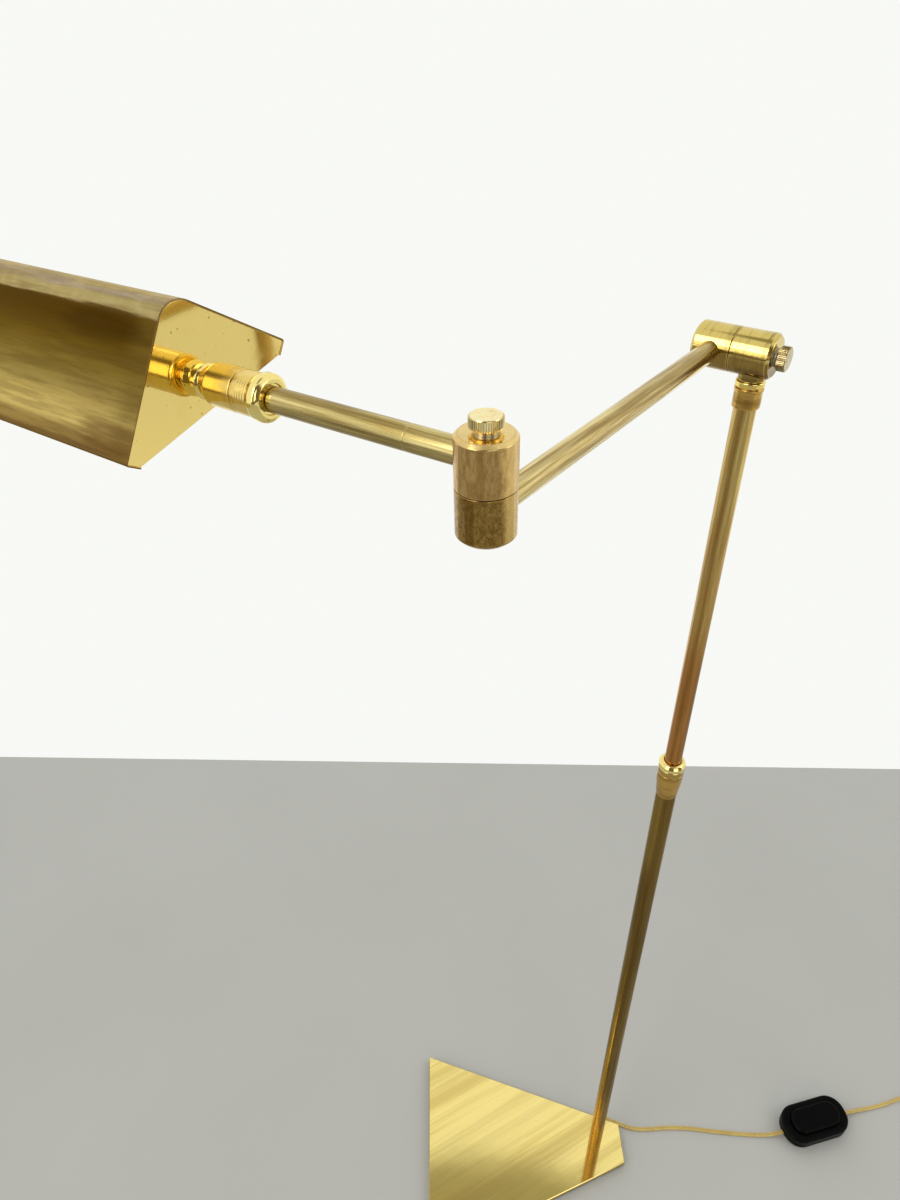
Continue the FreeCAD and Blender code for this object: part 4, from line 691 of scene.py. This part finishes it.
# Cords: the flex as two joined cores, laid flat along its route
ENTRY = 5.7
CORD_REACH = 47.3
CORD_STEP = 18.0
CORD_DIP = 1.9
FLEX_Z = 1.5
CORD_TO_SWITCH = [
    (2.9, 39.8, 3.7), (16.0, 42.0, 1.9), (30.0, 35.5, FLEX_Z), (43.5, 30.0, FLEX_Z), (61.0, 22.6, FLEX_Z),
    (86.0, 21.0, FLEX_Z), (113.0, 22.9, FLEX_Z), (144.0, 21.6, FLEX_Z), (179.0, 16.4, FLEX_Z),
    (213.0, 12.2, FLEX_Z), (244.0, 9.2, FLEX_Z),
]
CORD_TO_COIL = [(432.0, 40.9, FLEX_Z), (459.0, 45.4, FLEX_Z), (486.0, 53.4, FLEX_Z), (512.0, 58.6, FLEX_Z)]
CORD_TO_PLUG = [(561.0, 63.2, 4.7), (577.0, 67.4, 5.6)]
COIL_CENTRE = Vector((551.0, 18.6, 0.0))
COIL_ENTRY = 100.0
COIL_OUTER = 46.0
COIL_PITCH = 6.2
COIL_TURNS = 4
COIL_LAYER = 3.1
POINTS_PER_TURN = 16
CORE_R = 1.42
CORE_APART = 1.38
CORE_SWEEP = 260.0
CORE_POINTS = 14


def coil_spot(turns):
    """A point of the coil, clockwise from its entry: four turns in, half a turn up, and out again above."""
    climb = min(max((turns - COIL_TURNS) / 0.5, 0), 1)
    if turns <= COIL_TURNS:
        radius = COIL_OUTER - COIL_PITCH * turns
    else:
        radius = COIL_OUTER - COIL_PITCH * COIL_TURNS + COIL_PITCH * max(turns - COIL_TURNS - 0.5, 0)
    angle = math.radians(COIL_ENTRY) - math.tau * turns
    height = FLEX_Z + COIL_LAYER * climb
    return COIL_CENTRE + Vector((radius * math.cos(angle), radius * math.sin(angle), height))


def route_line(name, points):
    """Points along the smooth curve that has a route's points as its control points."""
    curve = bpy.data.curves.new(name, "CURVE")
    curve.dimensions = "3D"
    curve.resolution_u = 10
    spline = curve.splines.new("NURBS")
    spline.points.add(len(points) - 1)
    for spot, point in zip(spline.points, points):
        spot.co = (*(Vector(point) * MM), 1.0)
    spline.order_u = 3
    spline.use_endpoint_u = True
    line = evaluated_mesh(add_object(name, curve))
    spots = [vertex.co.copy() for vertex in line.vertices]
    bpy.data.meshes.remove(line)
    return spots


def flex_section():
    """The flex's outline: two round cores side by side with a shallow waist."""
    section = []
    for side in (1, -1):
        for i in range(CORE_POINTS):
            angle = math.radians(CORE_SWEEP * (i / (CORE_POINTS - 1) - 0.5))
            section.append((side * (CORE_APART + CORE_R * math.cos(angle)), side * CORE_R * math.sin(angle)))
    return section


def flex_shell(spots):
    """The flex swept along its line, lying flat."""
    shell = bmesh.new()
    length_layer = shell.loops.layers.uv.new("flex")
    section = flex_section()
    count = len(section)
    rows = []
    travelled = [0.0]
    for i, spot in enumerate(spots):
        before = spots[max(i - 1, 0)]
        after = spots[min(i + 1, len(spots) - 1)]
        way = (after - before).normalized()
        across = way.cross(UP).normalized()
        rise = across.cross(way)
        rows.append([shell.verts.new(spot + (across * x + rise * y) * MM) for x, y in section])
        if i:
            travelled.append(travelled[-1] + (spot - spots[i - 1]).length)
    for i in range(len(rows) - 1):
        for k in range(count):
            after = (k + 1) % count
            face = shell.faces.new((rows[i][k], rows[i][after], rows[i + 1][after], rows[i + 1][k]))
            spans = ((i, k), (i, k + 1), (i + 1, k + 1), (i + 1, k))
            for loop, (row, column) in zip(face.loops, spans):
                loop[length_layer].uv = (travelled[row], column / count)
    return close_ends(shell, rows)


def make_flex_material():
    """Clear gold insulation over two twisted cores, which show as slanting lines through it."""
    material, shader = new_material("gold flex")
    spot = axes(add_node(shader, "ShaderNodeUVMap", uv_map="flex").outputs[0])
    strands = calculate("SINE", plus(times(spot["X"], 900.0), times(spot["Y"], 30.0)))
    lobes = calculate("COSINE", times(spot["Y"], math.tau * 2))
    cloud = noise(coordinates(shader), 60.0)
    skin = mix_colour(spread(cloud, 0.35, 0.65), colour_of(214, 188, 104), colour_of(196, 166, 84))
    core = mix_colour(spread(strands, -0.4, 0.4), colour_of(150, 122, 52), colour_of(205, 176, 96))
    fill(shader, Base_Color=mix_colour(times(spread(lobes, -0.6, 0.9), 0.55), skin, core),
         Roughness=spread(cloud, 0.3, 0.7, 0.18, 0.3), Coat_Weight=0.5, Coat_Roughness=0.1,
         Subsurface_Weight=0.15, Subsurface_Radius=(0.002, 0.0015, 0.0006))
    return material


flex_plastic = make_flex_material()


def lay_flex():
    """Both stretches of flex, swept along their routes and put on the stand."""
    enter = AT_SWITCH @ Vector((-CORD_REACH, 0, ENTRY))
    before = AT_SWITCH @ Vector((-CORD_REACH - CORD_STEP, 0, ENTRY - CORD_DIP))
    leave = AT_SWITCH @ Vector((CORD_REACH, 0, ENTRY))
    after = AT_SWITCH @ Vector((CORD_REACH + CORD_STEP, 0, ENTRY - CORD_DIP))
    coil = [coil_spot(i / POINTS_PER_TURN) for i in range(COIL_TURNS * 2 * POINTS_PER_TURN + 1)]
    laid = []
    for name, points, nodes in (
            ("flex_to_switch", [*CORD_TO_SWITCH, before, enter], ["cord_to_switch"]),
            ("flex_to_plug", [leave, after, *CORD_TO_COIL, *coil, *CORD_TO_PLUG, PLUG_PLACE],
             ["cord_to_coil", "cord_coil", "cord_to_plug"])):
        line = route_line(name, points)
        laid += [add_piece(name, flex_shell(line), flex_plastic, "flex", "stand", *nodes, sharp=60.0), line]
    return laid


def paint_node(node, material):
    """Give a CAD node its finish."""
    piece = frame["nodes"][node]
    piece.data.materials.clear()
    piece.data.materials.append(material)


# Pole
def make_pole():
    for name, node, material, slot, corners in (
            ("lower_pole", "lower_tube", lower_tube_brass, "brass_tube", tube_corners(8.0, LOWER_TUBE_R, 0.0, 822.0)),
            ("collet", "collet_body", collet_brass, "brass_turned", [
                (9.02, 804.0), (9.3, 804.0, 0.2), (9.8, 808.5, 1.5), (11.2, 823.0, 3.0), (11.25, 833.0, 0.4),
                (9.55, 833.0, 0.2), (9.55, 838.0, 0.2), (8.95, 843.6), (7.31, 843.6), (7.31, 822.0),
                (9.02, 822.0)]),
            ("clamp_collar", "clamp_ring", collar_brass, "brass_turned", [
                (9.61, 833.3), (11.3, 833.3, 0.5), (11.35, 839.4, 0.35), (10.9, 840.0, 0.25), (11.6, 840.7, 0.6),
                (11.6, 843.6, 1.6), (9.9, 846.6, 1.8), (8.0, 847.0, 0.3), (7.5, 846.6, 0.3), (7.5, 844.0),
                (9.01, 844.0), (9.61, 838.0)]),
            ("upper_pole_tube", "upper_tube", upper_tube_brass, "brass_tube",
             tube_corners(6.25, UPPER_TUBE_R, 569.0, 1189.0)),
            ("ferrule", "pole_ferrule", collet_brass, "brass_turned", [
                (7.27, 1177.0), (8.75, 1177.0, 0.4), (8.75, 1187.4, 0.3), (9.1, 1188.2, 0.4), (9.1, 1189.8, 0.4),
                (8.25, 1190.6, 0.2), (7.27, 1190.6)]),
            ("boss", "tilt_boss", boss_brass, "brass_turned", [
                (0.0, 1175.0, 0.0), (6.2, 1175.0, 0.2), (6.2, 1189.0), (7.25, 1189.0), (7.25, 1190.7),
                (9.1, 1190.7, 0.9), (9.1, 1194.2, 0.9), (8.1, 1195.0, 0.3), (8.1, 1202.0, 0.0), (0.0, 1202.0, 0.0)])):
        turned_piece(name, node, AT_PLATE, material, slot, corners)


# Joints
def make_half(name, node, where, side, material):
    """One half of a joint, closed inside, with the bright chamfer at its far end."""
    turned_piece(name, node, where, material, "brass_joint", [
        (radius, height * side, rounding) for radius, height, rounding in (
            (0.0, 0.9, 0.0), (11.2, 0.9, 0.1), (11.2, 0.16, 0.1), (HALF_R, 0.16, 0.3), (HALF_R, HALF_LONG - 1.8, 0.5),
            (HALF_R - 1.8, HALF_LONG, 0.5), (0.0, HALF_LONG, 0.0))])


def make_knob(name, node, where, material):
    """A thumb knob: a plain blank and the ridges of its straight knurl."""
    low = HALF_LONG + 1.4
    turned_piece(name, node, where, material, "brass_joint", [
        (0.0, 0.0, 0.0), (6.4, 0.0, 0.3), (6.95, 0.9, 0.2), (6.95, 5.8, 0.2), (6.7, 6.2, 0.25), (5.6, 6.08, 0.6),
        (0.0, 6.2, 0.0)], low)
    ridge_piece(name + "_ridges", where, material, "brass_joint", BODY_OF[node], count=46, radius=7.25,
                ridge_radius=0.33, ridge_length=4.6, height=low + 3.35)


def make_joints():
    make_half("top_joint_left", "tilt_stud_half", AT_TILT_STUD, -1, tilt_brass)
    make_half("top_joint_right", "tilt_knob_half", AT_TILT_KNOB, 1, tilt_brass)
    make_half("elbow_lower", "elbow_stud_half", AT_ELBOW_STUD, -1, elbow_brass)
    make_half("elbow_upper", "elbow_knob_half", AT_ELBOW_KNOB, 1, elbow_top_brass)
    make_knob("top_joint_knob", "tilt_knob", AT_TILT_KNOB, top_knob_brass)
    make_knob("elbow_thumb_knob", "elbow_knob", AT_ELBOW_KNOB, elbow_knob_brass)


def make_arms():
    turned_piece("first_arm", "arm_one_tube", AT_ARM_ONE, arm_one_brass, "brass_tube",
                 tube_corners(5.5, ARM_R, 11.6, 236.4))
    turned_piece("second_arm_stub", "arm_two_stub", AT_ARM_TWO, arm_two_brass, "brass_tube", [
        (5.5, 11.6), (ARM_R, 11.6), (ARM_R, 38.94), (5.48, 38.94), (5.48, 50.8, 0.2),
        (4.5, 50.8), (4.5, 38.8), (5.5, 36.8)])
    turned_piece("second_arm", "arm_two_tube", AT_ARM_TWO, arm_two_brass, "brass_tube",
                 tube_corners(5.5, ARM_R, 39.06, 133.7, 0.1))


# Swivel
def make_swivel():
    turned_piece("ring", "swivel_ring", AT_ARM_TWO, ring_brass, "brass_turned", [
        (6.52, 1.3), (7.75, 1.3, 0.3), (7.75, 0.0, 0.35), (9.7, 0.0, 1.2), (12.25, 1.5, 2.2), (12.25, 6.2, 2.2),
        (10.7, 8.0, 0.3), (6.52, 8.0)], RING_START)
    grooves = [(SLEEVE_R - depth, 1.7 + 1.6 * i + step, rounding) for i in range(4) for depth, step, rounding in (
        (0.0, 0.0, 0.15), (0.16, 0.18, 0.12), (0.16, 0.34, 0.12), (0.0, 0.52, 0.15))]
    turned_piece("sleeve", "swivel_sleeve", AT_ARM_TWO, sleeve_brass, "brass_turned", [
        (5.02, 4.2), (6.52, 4.2), (6.52, 0.0), (10.9, 0.1, 0.15), (SLEEVE_R, 0.5, 0.3), *grooves,
        (SLEEVE_R, SLEEVE_LONG - 0.4, 0.3), (10.9, SLEEVE_LONG, 0.15), (5.02, SLEEVE_LONG)], SLEEVE_START)
    turned_piece("cup", "swivel_cup", AT_SHADE, cup_brass, "brass_turned", [
        (5.06, 3.0), (8.8, 3.0), (8.8, 0.0, 0.2), (11.2, 0.0, 0.4), (11.2, CUP_LONG, 4.8), (5.02, CUP_LONG, 0.3),
        (5.02, CUP_LONG - 4.0), (8.8, CUP_LONG - 5.5), (8.8, 5.5), (5.06, 5.5)], CUP_START)
    rings = [(radius, 1.2 * i + step - 3.6, rounding) for i in range(3) for radius, step, rounding in (
        (6.0, 0.05, 0.1), (6.5, 0.48, 0.3), (6.5, 0.84, 0.3))]
    turned_piece("neck", "shade_neck", AT_SHADE, ring_brass, "brass_turned", [
        (3.4, -7.6), (4.98, -7.6), (4.98, -3.55), *rings, (6.2, 0.0), (8.4, 0.4, 0.6), (9.5, 1.8, 1.2),
        (8.9, 5.4, 1.2), (8.5, 6.4, 0.2), (4.98, 6.4), (4.98, 21.4, 0.2), (3.4, 21.4)], BEAD_START)


# Shade
SHADE_LONG = 240.0
SHADE_TOP = 49.0
SHADE_HALF = 60.5
SHADE_HEM = 6.4
SHEET = 0.9
END_PLATE = 1.2
RIDGE_R = 14.0
RIDGE_STEPS = 14
HEM_R = 1.6
HEM_STEPS = 5


def tent_line(inset):
    """Right to left along the tent's section, drawn in by an inset: (point, edge)."""
    slant = math.sqrt(0.5)
    low = SHADE_TOP - SHADE_HALF
    side_normal = Vector((slant, slant))
    ridge = Vector((0, SHADE_TOP - RIDGE_R / slant))
    hem = Vector((SHADE_HALF - HEM_R / slant, low))
    right = [(Vector((SHADE_HALF - SHADE_HEM, low - SHADE_HEM)), Vector((slant, -slant)), 0.7)]
    for i in range(HEM_STEPS + 1):
        normal = heading(-45 + 90 * i / HEM_STEPS).xy
        right.append((hem + normal * HEM_R, normal, 1.0))
    right.append((hem + side_normal * HEM_R + Vector((-1, 1)) * 1.4, side_normal, 0.0))
    right.append((ridge + side_normal * RIDGE_R + Vector((1, -1)) * 1.4, side_normal, 0.0))
    for i in range(RIDGE_STEPS // 2):
        normal = heading(45 + 90 * i / RIDGE_STEPS).xy
        right.append((ridge + normal * RIDGE_R, normal, 0.4))
    top = [(ridge + Vector((0, RIDGE_R)), Vector((0, 1)), 0.4)]
    flip = Vector((-1, 1))
    left = [(point * flip, normal * flip, edge) for point, normal, edge in reversed(right)]
    return [(point - normal * inset, edge) for point, normal, edge in right + top + left]


def sheet_shell(outer, inner, low, high, softness=0.2):
    """A closed band between two section lines of equal count, run along Z, its ends softly rounded."""
    half = len(outer)
    count = 2 * half
    loop = outer + inner[::-1]
    centre = [(a[0] + b[0]) / 2 for a, b in zip(outer, inner)]
    rows = []
    for height, draw, edge in ((low, softness, 1.0), (low + softness, 0.0, 1.0), (low + 1.2, 0.0, 0.0),
                               (high - 1.2, 0.0, 0.0), (high - softness, 0.0, 1.0), (high, softness, 1.0)):
        rows.append([((point + (middle - point).normalized() * draw).to_3d() + UP * height, max(edge, weight))
                     for (point, weight), middle in zip(loop, centre + centre[::-1])])
    shell, made = skin_rows(rows, AT_SHADE)
    for i, face in enumerate(shell.faces):
        face.material_index = int(half <= i % count < count - 1)
    for row in (made[0], made[-1]):
        for i in range(half - 1):
            shell.faces.new((row[i], row[i + 1], row[count - 2 - i], row[count - 1 - i]))
    return shell


def make_shade():
    low = SHADE_FACE - 0.5
    high = low + SHADE_LONG
    sheet = add_piece("shade_sheet", sheet_shell(tent_line(0.0), tent_line(SHEET), low, high), shade_brass,
                      "brass_shade", "shade", "shade_shell", sharp=40.0)
    sheet.data.materials.append(shade_inner_brass)
    for name, node, face in (("shade_front", "shade_front_plate", SHADE_FACE),
                             ("shade_back", "shade_end_plate", high - 0.5 - END_PLATE)):
        rows = [[(point.to_3d() + UP * (face + step), 0.5) for point, _ in tent_line(SHEET + 0.02 + inset)]
                for step, inset in ((0, 0.25), (0.25, 0.0), (END_PLATE - 0.25, 0.0), (END_PLATE, 0.25))]
        shell = close_ends(*skin_rows(rows, AT_SHADE))
        add_piece(name, shell, end_plate_brass, "brass_plate", "shade", node, sharp=50.0)


# Lamp holder and bulb
def make_opal_glass():
    material, shader = new_material("opal glass")
    cloud = noise(turned_to(shader, AT_SHADE), 30.0)
    tone = mix_colour(spread(cloud, 0.3, 0.7), (0.86, 0.85, 0.82, 1), (0.78, 0.77, 0.73, 1))
    fill(shader, Base_Color=tone, Roughness=spread(cloud, 0.3, 0.7, 0.14, 0.22), Coat_Weight=0.6,
         Subsurface_Weight=0.4, Subsurface_Radius=(0.004, 0.004, 0.004))
    return material


def make_light():
    root = SHADE_FACE + 5.7
    mouth = root + 50.0
    turned_piece("holder", "lamp_holder", AT_SHADE, holder_plastic, "holder", [
        (5.02, 0.0), (10.0, 0.0, 0.5), (12.5, 4.0, 1.0), (12.5, 16.0, 0.4), (14.0, 18.0, 0.8), (14.0, 50.0, 0.6),
        (12.2, 50.0, 0.4), (12.2, 24.0, 0.2), (5.02, 24.0)], root)
    turned_piece("holder_collar", "holder_ring", AT_SHADE, holder_plastic, "holder",
                 tube_corners(14.02, 15.6, 32.0, 38.0, 0.6), root)
    ridge_piece("holder_collar_ridges", AT_SHADE, holder_plastic, "holder", "shade", count=36, radius=15.3,
                ridge_radius=0.45, ridge_length=4.6, height=root + 35.0)
    turned_piece("bulb", "bulb_glass", AT_SHADE, make_opal_glass(), "bulb", [
        (0.0, 0.02, 0.0), (7.0, 0.02, 0.4), (7.6, 2.0, 0.8), (12.5, 9.0, 5.0), (12.5, 83.0, 3.0), (11.5, 86.75, 3.0),
        (8.75, 89.75, 3.0), (4.75, 91.5, 2.0), (0.0, 92.0, 0.0)], mouth)


# Foot switch: its moulding and its pad as half lengths and corner, its heights, and the moulding's wall and bevel
SWITCH_SIZE = (50.5, 26.5, 24.0)
PAD_SIZE = (38.0, 17.0, 16.0)
SWITCH_LOW = 1.0
SWITCH_SEAM = 9.0
SWITCH_TOP = 22.0
PAD_TOP = 27.6
WALL = 2.2
BEVEL = 2.4


def make_switch():
    low, seam, top = SWITCH_LOW, SWITCH_SEAM, SWITCH_TOP
    stacked_piece("switch_tray", "switch_base", AT_SWITCH, black_plastic, "switch_black", drawn_in(
        SWITCH_SIZE, (BEVEL + 0.6, low, 0.0), (BEVEL, low, 1.0), (0.3, low + BEVEL - 0.3, 1.0),
        (0, low + BEVEL + 0.4, 0.3), (0, seam - 0.3, 0.0), (0.3, seam, 0.6), (WALL, seam, 0.0)))
    stacked_piece("switch_lid", "switch_cover", AT_SWITCH, black_plastic, "switch_black", [
        *drawn_in(SWITCH_SIZE, (0.3, seam + 0.4, 0.6)), *softened(SWITCH_SIZE, seam + 0.7, top, 3.2),
        *drawn_in(PAD_SIZE, (-0.9, top, 0.0), (-0.45, top - 0.3, 0.5), (-0.45, top - WALL, 0.0)),
        *drawn_in(SWITCH_SIZE, (WALL, top - WALL, 0.0), (WALL, seam + 0.4, 0.0))], closed=True)
    lip_top = top - WALL - 0.3
    stacked_piece("switch_button", "switch_pad", AT_SWITCH, black_plastic, "switch_black", [
        *drawn_in(PAD_SIZE, (-2.0, lip_top - 2.0, 0.0), (-2.0, lip_top, 0.0), (0, lip_top + 0.05, 0.0)),
        *softened(PAD_SIZE, lip_top + 0.4, PAD_TOP, 2.4)])
    coil = bmesh.new()
    coil.from_mesh(frame["nodes"]["switch_spring"].data)
    spring = add_piece("switch_return_spring", coil, steel, "steel", "stand", "switch_spring")
    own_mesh(spring)


# Plug
def make_plug():
    stacked_piece("plug_moulding", "plug_body", AT_PLUG, plug_plastic, "plug_black", [
        (wide, thick, min(4.0, thick - 0.3), station, edge) for station, wide, thick, edge in (
            (26.0, 6.4, 4.9, 0.6), (27.2, 7.0, 5.44, 0.3), (41.75, 13.0, 6.8, 0.0), (59.8, 13.0, 6.8, 0.0),
            (60.7, 12.6, 6.4, 1.0), (61.0, 12.0, 5.8, 1.0))])
    relief = turned_shell([(0.0, 0.0, 0.0), (3.3, 0.0, 0.4), (4.6, 26.8, 0.2), (0.0, 26.8, 0.0)], AT_PLUG, 48)
    add_piece("plug_relief", relief, plug_plastic, "plug_black", "stand")
    shell = None
    for side in (-1, 1):
        shell = turned_shell([(0.0, 55.0, 0.0), (1.6, 55.0), (1.6, 61.5), (2.0, 61.5), (2.0, 79.4), (1.4, 80.0, 0.2),
                              (0.0, 80.0, 0.0)], AT_PLUG @ Matrix.Translation((9.3 * side, 0, 0)), 32, shell)
    add_piece("plug_prongs", shell, nickel, "nickel", "stand", "plug_pins")


# Floor and light
FLOOR_REACH = 6.0
BACKDROP_HIGH = 2.2
WALL_WHITE = (0.94, 0.95, 0.92, 1)


def add_stage(name, corners, material):
    """A flat sheet of the floor or the backdrop."""
    mesh = bpy.data.meshes.new(name)
    mesh.from_pydata(corners, [], [(0, 1, 2, 3)])
    mesh.materials.append(material)
    add_object(name, mesh)


def lay_floor():
    """A plain pale floor, painted paler far to the right as a pool of window light, where the shade's end plate
    reflects it.
    """
    material, shader = new_material("floor")
    ground = coordinates(shader)
    tone = mix_colour(noise(ground, 3.0), (0.47, 0.47, 0.45, 1), (0.52, 0.52, 0.50, 1))
    far_right = spread(axes(ground)["X"], 1.4, 2.0)
    fill(shader, Base_Color=mix_colour(far_right, tone, (0.9, 0.9, 0.87, 1)), Roughness=0.6)
    reach = FLOOR_REACH
    add_stage("floor", [(-reach, -reach, 0), (reach, -reach, 0), (reach, reach, 0), (-reach, reach, 0)], material)


def hang_backdrop():
    """A white backdrop that is clear from behind."""
    material, shader = new_material("backdrop")
    tree = material.node_tree
    glow = add_node(tree, "ShaderNodeEmission", Color=WALL_WHITE)
    clear = add_node(tree, "ShaderNodeBsdfTransparent")
    side = add_node(tree, "ShaderNodeMixShader")
    for i, source in enumerate((add_node(tree, "ShaderNodeNewGeometry").outputs["Backfacing"], glow.outputs[0],
                                clear.outputs[0])):
        tree.links.new(source, side.inputs[i])
    tree.links.new(side.outputs[0], tree.nodes["Material Output"].inputs["Surface"])
    tree.nodes.remove(shader)
    left, right = ((x, BACKDROP_AT + x * BACKDROP_SLANT) for x in (-FLOOR_REACH, FLOOR_REACH))
    add_stage("backdrop", [(*left, 0), (*right, 0), (*right, BACKDROP_HIGH), (*left, BACKDROP_HIGH)], material)


def make_surround():
    """Soft windows behind the camera under a dark lintel and a dim ceiling. The camera itself sees plain white."""
    world = bpy.data.worlds.new("surround")
    bpy.context.scene.world = world
    world.use_nodes = True
    tree = world.node_tree
    way = axes(add_node(tree, "ShaderNodeTexCoord").outputs["Generated"])
    azimuth = calculate("ARCTAN2", way["X"], times(way["Y"], -1.0))
    pane = spread(calculate("SINE", times(azimuth, 5.0)), 0.0, 0.3)
    sill = spread(way["Z"], -0.08, 0.0)
    lintel = spread(way["Z"], 0.5, 0.58, 1.0, 0.0)
    window = times(pane, times(sill, lintel))
    room = mix_colour(window, (0.16, 0.13, 0.09, 1), (1.7, 1.7, 1.6, 1))
    tone = mix_colour(spread(way["Y"], -0.55, -0.35), room, WALL_WHITE)
    tone = mix_colour(spread(way["Z"], 0.9445, 0.950), tone, (0.35, 0.33, 0.25, 1))
    seen = add_node(tree, "ShaderNodeLightPath").outputs["Is Camera Ray"]
    fill(tree.nodes["Background"], Color=mix_colour(seen, tone, WALL_WHITE))


def hang_lamps():
    """A soft key light from the left and a weaker one from the right."""
    for name, spot, target, size, power in (
            ("key", (-1.6, -1.2, 2.6), (0, 0, 0.9), 1.2, 14.0),
            ("fill", (2.2, -0.6, 1.9), (0, 0, 0.8), 1.0, 6.0)):
        lamp = bpy.data.lights.new(name, "AREA")
        lamp.size = size
        lamp.energy = power
        aim = (Vector(target) - Vector(spot)).to_track_quat("-Z", "Y")
        add_object(name, lamp).matrix_world = Matrix.Translation(spot) @ aim.to_matrix().to_4x4()


bpy.context.scene.view_settings.view_transform = "Standard"
place_camera()
near_flex, near_line, far_flex, far_line = lay_flex()
make_pole()
make_joints()
make_arms()
make_swivel()
make_shade()
make_light()
make_switch()
make_plug()
lay_floor()
hang_backdrop()
make_surround()
hang_lamps()

# The CAD nodes that keep their shapes, by finish
for finish, kept in (
        (plate_brass, "base_plate"), (felt_cloth, "base_felt"),
        (steel, "base_nipple base_washer base_nut swivel_nut swivel_spring_washer tilt_spring_washer"
                " elbow_spring_washer shade_washer shade_nut pivot_studs switch_screws"),
        (collet_brass, "pole_foot_plug swivel_screw switch_contacts"), (nickel, "bulb_cap holder_insert"),
        (nylon, "guide_bush"), (fibre, "fibre_washers"), (rubber, "switch_feet"),
        (flex_plastic, "pole_flex upper_pole_flex arm_one_flex arm_two_flex")):
    for node in kept.split():
        paint_node(node, finish)
